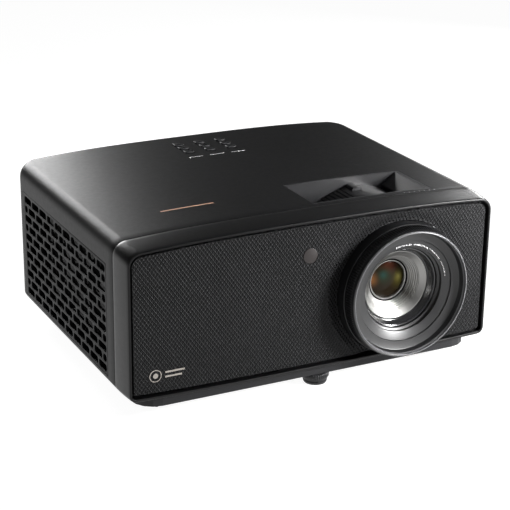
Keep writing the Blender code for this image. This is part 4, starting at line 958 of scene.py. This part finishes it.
def make_zoom_ring():
    """Zoom ring on the barrel, with its web, ribbed finger dial and knob."""
    front, back = depth_range("zoom_ring")
    crest = height_range("zoom_ring")[1] - LENS_HEIGHT
    ring_radius, bore, edge = 46.0, 40.4, 0.4
    ring = revolve([(ring_radius, front + edge), (ring_radius - edge, front), (bore, front),
                    (bore, back), (ring_radius - edge, back), (ring_radius, back - edge)])

    dial_radius = crest - 2.5
    inner_radius = dial_radius - 3.0
    first, last, steps = 35.0, 147.0, 224
    knob_angle = 92.5
    rib_pitch, rib_sink, plain = 7, 0.9, 6.0
    outer = []
    for step in range(steps + 1):
        degrees = first + (last - first) * step / steps
        sunk = degrees > knob_angle + plain and step % rib_pitch < 2
        outer.append(lens_xh(dial_radius - (rib_sink if sunk else 0.0), degrees))
    dial = across_prism(outer + lens_arc(inner_radius, last, first, 60), (front, back))

    web_first, web_last, overlap = first + 2, last - 2, 0.5
    web = across_prism(lens_arc(inner_radius + overlap, web_first, web_last, 48)
                       + lens_arc(ring_radius - 2, web_last, web_first, 48),
                       around((front + back) / 2, 4))

    knob_x = lens_xh(dial_radius, knob_angle)[0]
    base = LENS_HEIGHT + dial_radius - 1.5
    tip = LENS_HEIGHT + crest
    right = [(5.0, base), (4.6, tip - 1.6), (3.6, tip - 0.3), (2.4, tip)]
    left = [(-across, h) for across, h in reversed(right)]
    knob = across_prism([(knob_x + across, h) for across, h in right + left], (74.0, 85.0))
    mesh = gathered([ring, dial, web, knob])
    piece("zoom_dial", mesh, RING_BLACK, "zoom_ring", ["zoom_ring"], 28.0)


# ---------------------------------------------------------------- keypad

def marker_points(kind):
    """Outline of a key's raised symbol, about its middle."""
    size = 1.3
    turns = {"key_right": 0, "key_up": 90, "key_left": 180, "key_down": 270}
    if kind in turns:
        sides, first = 3, turns[kind]
    elif kind == "key_enter":
        sides, first = 24, 0
    else:
        return rounded_points(1.7, 0.45, 0.4, 3)
    return [(size * math.cos(math.radians(first + 360 * step / sides)),
             size * math.sin(math.radians(first + 360 * step / sides)))
            for step in range(sides)]


def make_keys():
    """Key caps with soft edges, their flanges and stems, and a small printed symbol."""
    for row, d in zip(KEY_NAMES, KEY_DEPTHS):
        for name, x in zip(row, KEY_COLUMNS):
            low, high = height_range(name)
            cap = plate([rounded_points(KEY_SIZE[0] / 2, KEY_SIZE[1] / 2, 1.6, 5)], 4.2,
                        Matrix.Translation(at(x, d, high)), 0.7, 4)
            flange = block(around(x, KEY_SIZE[0] + 2.2), around(d, KEY_SIZE[1] + 2.2),
                           (high - 5.2, high - 4.15), 0.2, 1)
            stem = block(around(x, 3), around(d, 3), (low, high - 5.1), 0.2, 1)
            piece(name + "_cap", gathered([cap, flange, stem]), KEY, name,
                  [name])
            symbol = plate([marker_points(name)], 0.05, Matrix.Translation(at(x, d, high)))
            piece(name + "_symbol", symbol, GREY_MARK, name, smooth=None)


def make_light_guide():
    """White indicator bars in the cover, on the strip that lights them."""
    low, high = height_range("light_guide")
    bars = []
    for x in KEY_COLUMNS:
        bars.append(plate([rounded_points(LIGHT_BAR[0] / 2, LIGHT_BAR[1] / 2, 0.65, 4)],
                          high - low, Matrix.Translation(at(x, LIGHT_BAR_DEPTH, high)), 0.15))
    strip = block((KEY_COLUMNS[0] - 9, KEY_COLUMNS[-1] + 9), around(LIGHT_BAR_DEPTH, 5),
                  (low, low + 1.9), 0.2, 1)
    piece("indicator_bars", gathered(bars + [strip]), LIGHT_WHITE, nodes=["light_guide"])


# ---------------------------------------------------------------- lens

def make_lens():
    """Collar, ribbed focus ring, marked front ring, bright trim and coated glass."""
    collar_low = height_range("lens_collar")[0]
    collar = revolve([(58.9, 12.0), (58.9, 7.0), (58.75, 2.0), (58.45, -1.0), (58.2, -3.6),
                      (57.8, -4.0), (51.0, -4.0), (50.6, -3.6), (50.6, 12.0)], steps=160)
    collar = cut(collar, block((-WIDE, WIDE * 2), (-40, 60), (-90, collar_low)))
    piece("collar", collar, RING_BLACK, nodes=["lens_collar"])

    front = depth_range("focus_ring")[0]
    ring = revolve([
        (57.3, -4.3), (57.55, -4.5), (57.5, -5.0),
        (57.25, -5.3, True), (56.35, -12.9, True), (56.4, -13.2), (56.3, -13.5),
        (55.95, front + 1.5), (55.6, front + 0.9),
        (55.4, front + 1.3), (54.9, -9.2), (52.5, -8.4), (47.0, -7.0),
        (47.0, 14.0), (50.2, 14.0), (50.2, -4.3)],
        ribs=RIB_COUNT, rib_height=0.65)
    piece("focus_grip", ring, RING_BLACK, "focus_ring", ["focus_ring"], 40.0)
    lip = revolve([
        (55.9, front + 1.45), (55.62, front + 0.75), (55.25, front + 0.2), (54.9, front),
        (54.5, front), (54.2, front + 0.25), (54.0, front + 0.9), (53.4, front + 3.0),
        (55.0, front + 3.0)], steps=192)
    piece("focus_lip", lip, LIP_GREY, "focus_ring")
    wall = revolve([(54.02, front + 0.8), (52.3, -9.9), (52.0, -9.6), (53.5, -9.4),
                    (55.2, front + 2.0)], steps=192)
    piece("hood_wall", wall, RING_BLACK, "focus_ring")
    cone = revolve([(52.4, -9.95), (51.8, -9.6), (46.0, -8.1), (45.4, -7.9), (45.3, -7.6),
                    (46.8, -7.4), (52.4, -8.9)], steps=192)
    piece("hood_cone", cone, RING_GREY, "focus_ring")

    outer = 46.6
    face = revolve([(outer, -6.9), (45.2, -6.6), (44.9, -6.75), (38.5, -4.2), (38.0, -3.9),
                    (38.0, -1.0), (37.4, -0.5), (36.0, 0.0), (36.0, 24.0), (outer, 24.0)],
                   steps=160)
    piece("marked_ring", face, RING_GREY, nodes=["lens_front_ring"])
    make_ring_marks()

    cell = revolve([(35.5, 2.0), (35.2, 1.7), (34.4, 2.1), (33.9, 3.0), (33.7, 3.4),
                    (33.5, 3.3), (31.9, 7.2), (31.3, 7.5), (31.3, 22.0), (18.9, 22.5),
                    (18.9, 40.0), (35.5, 40.0)], steps=160)
    piece("gloss_cell", cell, GLOSS_RING, "focus_group", ["focus_cell"])

    trim = revolve([(31.0, 8.6), (30.6, 8.1), (30.0, 8.2), (25.4, 11.6), (25.1, 12.3),
                    (24.6, 12.5), (24.3, 13.6), (23.5, 14.0), (23.2, 15.2), (22.4, 15.6),
                    (22.1, 16.8), (21.4, 17.2), (21.1, 18.4), (20.4, 18.7), (20.0, 20.2),
                    (19.4, 20.6), (19.4, 21.5), (31.0, 21.5)], steps=192)
    piece("bright_trim", trim, TRIM, "focus_group", ["lens_trim_ring"], 24.0)
    # near-black ring in the groove between trim and retainer: painted shade for the dark gap
    groove = revolve([(19.3, 21.0), (18.0, 21.2), (18.0, 23.5), (19.3, 23.5)], steps=128)
    piece("trim_groove_shade", groove, HOLE_SHADE, "focus_group")
    retainer = revolve([(18.1, 21.6), (17.7, 21.3), (17.1, 21.4), (16.7, 22.0),
                        (16.7, 24.0), (18.1, 24.0)], steps=128)
    piece("glass_retainer", retainer, TRIM, "focus_group")
    glass_radius, glass_front, bulge, steps = 16.9, 20.7, 3.4, 14
    profile = [(glass_radius * step / steps, glass_front + bulge * (step / steps) ** 2)
               for step in range(steps + 1)]
    profile += [(glass_radius, 30.0), (0, 30.0)]
    piece("coated_element", revolve(profile, steps=128), GLASS, "focus_group",
          ["front_lens"], 60.0)


def make_ring_marks():
    """Generic white ticks round the marked ring, from half past eleven to three."""
    first, last, count, word = 104.0, 8.0, 44, 11
    widths = (0.9, 0.5, 1.3, 0.5, 0.9, 0.5)
    ring_radius, along = 41.3, -5.35
    tilt = math.atan2(2.55, 6.4)
    marks = []
    for index in range(count):
        if index % word == word - 1:
            continue
        degrees = first + (last - first) * index / (count - 1)
        angle = math.radians(degrees)
        width = widths[index % len(widths)]
        height = 2.3 if index % 5 else 2.9
        x, h = lens_xh(ring_radius, degrees)
        place = (Matrix.Translation(at(x, along, h))
                 @ Matrix.Rotation(math.pi / 2 - angle, 4, "Y")
                 @ Matrix.Rotation(math.pi / 2, 4, "X") @ Matrix.Rotation(-tilt, 4, "X"))
        marks.append(plate([rounded_points(width / 2, height / 2, 0.2, 2)], 0.08, place))
    piece("ring_ticks", gathered(marks), WHITE_MARK, smooth=None)


# ---------------------------------------------------------------- printed marks

def top_strip(x_range, d_range, lift=0.05, steps=10):
    """A thin printed strip that follows the crowned top."""
    work = bmesh.new()
    near, far = [], []
    for step in range(steps + 1):
        x = x_range[0] + (x_range[1] - x_range[0]) * step / steps
        for row, d in ((near, d_range[0]), (far, d_range[1])):
            row.append(work.verts.new(at(x, d, top_height(x) + lift)))
    for step in range(steps):
        work.faces.new((near[step], near[step + 1], far[step + 1], far[step]))
    pushed = bmesh.ops.extrude_face_region(work, geom=work.faces[:])
    verts = [item for item in pushed["geom"] if isinstance(item, bmesh.types.BMVert)]
    bmesh.ops.translate(work, vec=(0, 0, -lift * 2 * MM), verts=verts)
    bmesh.ops.recalc_face_normals(work, faces=work.faces)
    return to_mesh(work, "strip")


def make_marks():
    """Generic marks: a plain bar on the top, ticks at the well, a plain badge in front."""
    piece("top_bar_mark", top_strip((-110.0, -62.0), (70.6, 72.4)), COPPER_MARK,
          smooth=None)
    first_x, pitch, narrowest, growth = 98.0, 5.0, 0.7, 0.12
    ticks = []
    for index in range(7):
        x = first_x + index * pitch
        ticks.append(top_strip((x, x + narrowest + growth * index), (28.9, 30.3), steps=1))
    piece("zoom_scale", gathered(ticks), WHITE_MARK, smooth=None)
    badge_x, badge_h = -145.5, 21.0
    face, thick = PANEL_FRONT - 0.12, 0.2
    place = facing_back(badge_x, badge_h) @ Matrix.Translation((0, 0, face * MM))
    ring = revolve([(5.3, 0.0), (5.3, thick), (4.6, thick), (4.6, 0.0)], place, 64)
    dot = rod(2.2, 0.0, thick, place, 48)
    bars = [block((badge_x + 8.5, badge_x + 8.5 + length), (face, face + thick),
                  around(badge_h + rise, 1.5))
            for length, rise in ((17.0, 2.0), (14.5, -2.0))]
    piece("plain_badge", gathered([ring, dot] + bars), GREY_MARK,
          smooth=None)


# ---------------------------------------------------------------- rear panel

def make_rear():
    """Rear panel with rounded openings, socket tongues, contacts and fixing screws."""
    low_h, high_h = REAR_WINDOW_HEIGHTS
    middle_h = (low_h + high_h) / 2
    outlines = [rounded_points(REAR_WINDOW_X - GAP, (high_h - low_h) / 2 - GAP, 0.6, 3)]
    face = BODY_DEPTH - 0.4
    for node in ("hdmi_port_1", "hdmi_port_2", "usb_port", "lan_port", "power_inlet",
                 "audio_jack"):
        half_x, half_h = (half + GAP for half in half_sizes(node))
        radius = half_x - 0.05 if node == "audio_jack" else 0.5
        x, _, h = centre_of(node)
        outlines.append(moved(rounded_points(half_x, half_h, radius, 8), -x, h - middle_h))
    vent_slot = rounded_points(1.3, 9.0, 1.25, 4)
    vent_first_x, vent_pitch, vent_rise, vent_slots = 10.0, 5.2, 18.0, 12
    for column in range(vent_slots):
        outlines.append(moved(vent_slot, -(vent_first_x + column * vent_pitch), vent_rise))
    mesh = plate(outlines, 2.4, facing_rear(0, face, middle_h), 0.25)
    piece("rear_plate", mesh, GRILLE, nodes=["rear_panel"])

    tongues, contacts = [], []
    for node, width, rise in (("hdmi_port_1", 11.0, -0.3), ("hdmi_port_2", 11.0, -0.3),
                              ("usb_port", 11.2, 1.1)):
        x, _, h = centre_of(node)
        h += rise
        back = depth_range(node)[1]
        tongues.append(block(around(x, width), (back - 14.9, back - 1.2), around(h, 1.3), 0.2, 1))
        for index in range(8):
            across = x + (index - 3.5) * width / 9
            contacts.append(block(around(across, 0.55), (back - 14.5, back - 1.6),
                                  around(h - 0.72, 0.12)))
    x = centre_of("lan_port")[0]
    top = height_range("lan_port")[1] - 3.0
    back = depth_range("lan_port")[1]
    for index in range(8):
        contacts.append(block(around(x + (index - 3.5) * 1.02, 0.4), (back - 12.0, back - 3.0),
                              (top - 0.9, top - 0.6)))
    piece("socket_tongues", gathered(tongues), INLET)
    piece("socket_contacts", gathered(contacts), GOLD, smooth=None)

    screws = []
    for x in (-REAR_WINDOW_X + 7, REAR_WINDOW_X - 7):
        for h in (low_h + 7, high_h - 7):
            screws.append(screw_head(facing_back(x, h) @ Matrix.Translation(
                (0, 0, (BODY_DEPTH - 0.45) * MM)), 2.6, 0.4))
    piece("rear_screws", gathered(screws), SCREW_STEEL)


def screw_head(matrix, radius, proud):
    """Pan head with a cross recess; matrix's Z points out of the head."""
    head = revolve([(0, proud), (radius * 0.6, proud), (radius * 0.9, proud * 0.75),
                    (radius, proud * 0.3), (radius, -0.6), (0, -0.6)], Matrix.Identity(4), 40)
    arm = radius * 0.6
    for half in ((arm, radius * 0.12), (radius * 0.12, arm)):
        work = bmesh.new()
        bmesh.ops.create_cube(work, size=1.0)
        bmesh.ops.scale(work, vec=(half[0] * 2 * MM, half[1] * 2 * MM, 0.8 * MM),
                        verts=work.verts)
        bmesh.ops.translate(work, vec=(0, 0, (proud + 0.1) * MM), verts=work.verts)
        head = cut(head, to_mesh(work, "arm"))
    head.transform(matrix)
    return head


# ---------------------------------------------------------------- feet and screws

def make_feet():
    """Turned front foot with a grip groove, rubber rear feet and case screws."""
    ground, top = height_range("front_foot_knob")
    radius = half_sizes("front_foot_knob")[0]
    x, d, _ = centre_of("front_foot_knob")
    stud = 4.3
    knob = revolve([
        (0, ground), (radius - 3.0, ground), (radius - 2.4, ground + 0.3),
        (radius - 1.9, ground + 1.0), (radius - 1.5, ground + 2.6), (radius - 2.0, ground + 2.9),
        (radius - 2.0, ground + 3.5), (radius - 1.3, ground + 3.8), (radius - 0.7, ground + 6.0),
        (radius - 0.5, ground + 6.3, True), (radius - 0.5, top - 1.0, True),
        (radius - 0.9, top - 0.2), (radius - 1.4, top), (stud, top), (stud, ground + 3.7),
        (0, ground + 3.7)], facing_up(x, d), ribs=36, rib_height=0.45)
    piece("foot_knob", knob, FOOT, "front_foot_knob", ["front_foot_knob"], 40.0)
    for name in ("rear_foot_left", "rear_foot_right"):
        ground, top = height_range(name)
        radius = half_sizes(name)[0]
        x, d, _ = centre_of(name)
        foot = revolve([(0, ground), (radius - 3.5, ground), (radius - 3.2, ground + 0.5),
                        (radius - 2.6, ground + 0.5), (radius - 2.3, ground),
                        (radius - 1.2, ground), (radius - 0.6, ground + 0.5),
                        (radius - 0.1, top - 0.6), (radius, top - 0.3), (radius - 0.2, top),
                        (0, top)], facing_up(x, d), 72)
        piece(name + "_pad", foot, RUBBER, "case", [name])
    for number in range(1, 5):
        name = f"case_screw_{number}"
        x, d, _ = centre_of(name)
        bottom, top = height_range(name)
        turn = Matrix.Translation(at(x, d, bottom + 0.9)) @ Matrix.Rotation(math.pi, 4, "X")
        shank = rod(1.5, bottom + 1.4, top, facing_up(x, d), 24)
        head = screw_head(turn, 3.2, 0.9)
        piece(name + "_head", gathered([head, shank]), SCREW_STEEL, "case",
              [name])


# ---------------------------------------------------------------- nodes that keep their shape

def dress_nodes():
    """Detailed materials for the CAD nodes that show as they are."""
    looks = {
        "bottom_tray": UNDERSIDE, "ir_board": BOARD, "key_board": BOARD,
        "main_board": BOARD, "dmd_board": BOARD, "power_supply": SUPPLY,
        "hdmi_port_1": STEEL, "hdmi_port_2": STEEL, "usb_port": STEEL, "lan_port": STEEL,
        "power_inlet": INLET, "audio_jack": INLET, "speaker": FAN,
        "fan_frame_1": FAN, "fan_frame_2": FAN, "fan_rotor_1": FAN, "fan_rotor_2": FAN,
        "dmd_heat_sink": FINS, "laser_heat_sink": FINS, "light_engine_housing": CAST,
        "phosphor_motor": CAST, "laser_module": BRASS, "phosphor_wheel": PHOSPHOR,
        "lens_barrel": CELL, "zoom_cell": CELL, "zoom_lens": CLEAR,
        "front_foot_stud": SCREW_STEEL,
    }
    for name, look in looks.items():
        for slot in frame["nodes"][name].material_slots:
            slot.material = look


# ---------------------------------------------------------------- stage

CAMERA_PLACE = (-588.85, -1044.10, 549.18)
CAMERA_TURN = (26.912, 20.502, 0.711)
CAMERA_FOCAL_LENGTH = 110.28


def aim(item, target):
    """Turn a light so that it shines at a point."""
    direction = Vector(target) - item.location
    item.rotation_mode = "QUATERNION"
    item.rotation_quaternion = direction.to_track_quat("-Z", "Y")


def soft_light(name, location, target, size, power, spread=180.0):
    """Rectangular studio light, placed and aimed in metres, with its power in watts."""
    lamp = bpy.data.lights.new(name, "AREA")
    lamp.shape = "RECTANGLE"
    lamp.size, lamp.size_y = size
    lamp.energy = power
    lamp.spread = math.radians(spread)
    made = bpy.data.objects.new(name, lamp)
    made.location = location
    bpy.context.scene.collection.objects.link(made)
    aim(made, target)
    return made


def make_floor():
    """Pale floor, lit a little by itself so that it stays white as in the photo."""
    floor = bpy.data.meshes.new("floor")
    reach = 12.0
    floor.from_pydata([(-reach, -reach, 0), (reach, -reach, 0), (reach, reach, 0),
                       (-reach, reach, 0)], [], [(0, 1, 2, 3)])
    made, tree, shader, coordinates = new_material("floor_white")
    cloudy = noise(tree, coordinates, 3.0)
    tree.links.new(mix(tree, cloudy, (0.22, 0.22, 0.22), (0.25, 0.25, 0.25)),
                   shader.inputs["Base Color"])
    shader.inputs["Roughness"].default_value = 0.8
    shader.inputs["Specular IOR Level"].default_value = 0.1
    shader.inputs["Emission Color"].default_value = (1.0, 1.0, 1.0, 1.0)
    shader.inputs["Emission Strength"].default_value = 0.95
    floor.materials.append(made)
    ground = bpy.data.objects.new("floor", floor)
    bpy.context.scene.collection.objects.link(ground)


def make_lights():
    """Dim pale surroundings and the studio lights."""
    world = bpy.data.worlds.new("studio")
    world.use_nodes = True
    background = world.node_tree.nodes["Background"]
    background.inputs["Color"].default_value = (1.0, 1.0, 1.0, 1.0)
    background.inputs["Strength"].default_value = 0.05
    bpy.context.scene.world = world
    bpy.context.scene.view_settings.view_transform = "Standard"

    soft_light("overhead", (0.1, -0.1, 2.6), (0.0, 0.0, 0.0), (3.4, 3.4), 5.0)
    soft_light("back_left", (-0.10, 0.95, 0.45), (-0.15, 0.0, 0.14), (0.45, 0.3), 7.5)
    soft_light("front_right", (0.45, -0.45, 0.28), (0.16, -0.12, 0.12), (0.15, 0.15), 1.4, 60.0)
    soft_light("edge_light", (0.50, -0.45, 0.75), (0.15, -0.12, 0.13), (0.3, 0.3), 1.5)
    soft_light("left_fill", (-0.75, -0.65, 0.80), (0.05, -0.12, 0.10), (0.3, 0.3), 1.0)
    soft_light("back_right", (1.05, 0.75, 0.45), (0.15, 0.0, 0.13), (0.3, 0.3), 5.0)



def make_camera():
    """The photo's view: turned right, tipped down and slightly rolled."""
    view = bpy.data.cameras.new("camera")
    view.sensor_width = 36.0
    view.lens = CAMERA_FOCAL_LENGTH
    view.clip_end = 50.0
    camera = bpy.data.objects.new("camera", view)
    bpy.context.scene.collection.objects.link(camera)
    yaw, pitch, roll = (math.radians(value) for value in CAMERA_TURN)
    forward = Vector((math.sin(yaw) * math.cos(pitch), math.cos(yaw) * math.cos(pitch),
                      -math.sin(pitch)))
    right = Vector((math.cos(yaw), -math.sin(yaw), 0.0))
    up = right.cross(forward)
    rolled_right = math.cos(roll) * right + math.sin(roll) * up
    rolled_up = math.cos(roll) * up - math.sin(roll) * right
    axes = Matrix((rolled_right, rolled_up, -forward)).transposed()
    camera.matrix_world = Matrix.Translation(at(*CAMERA_PLACE)) @ axes.to_4x4()
    bpy.context.scene.camera = camera


make_cover()
make_bezel()
make_front_panel()
make_grilles()
make_well()
make_zoom_ring()
make_keys()
make_light_guide()
make_lens()
make_marks()
make_rear()
make_feet()
dress_nodes()
make_floor()
make_lights()
make_camera()
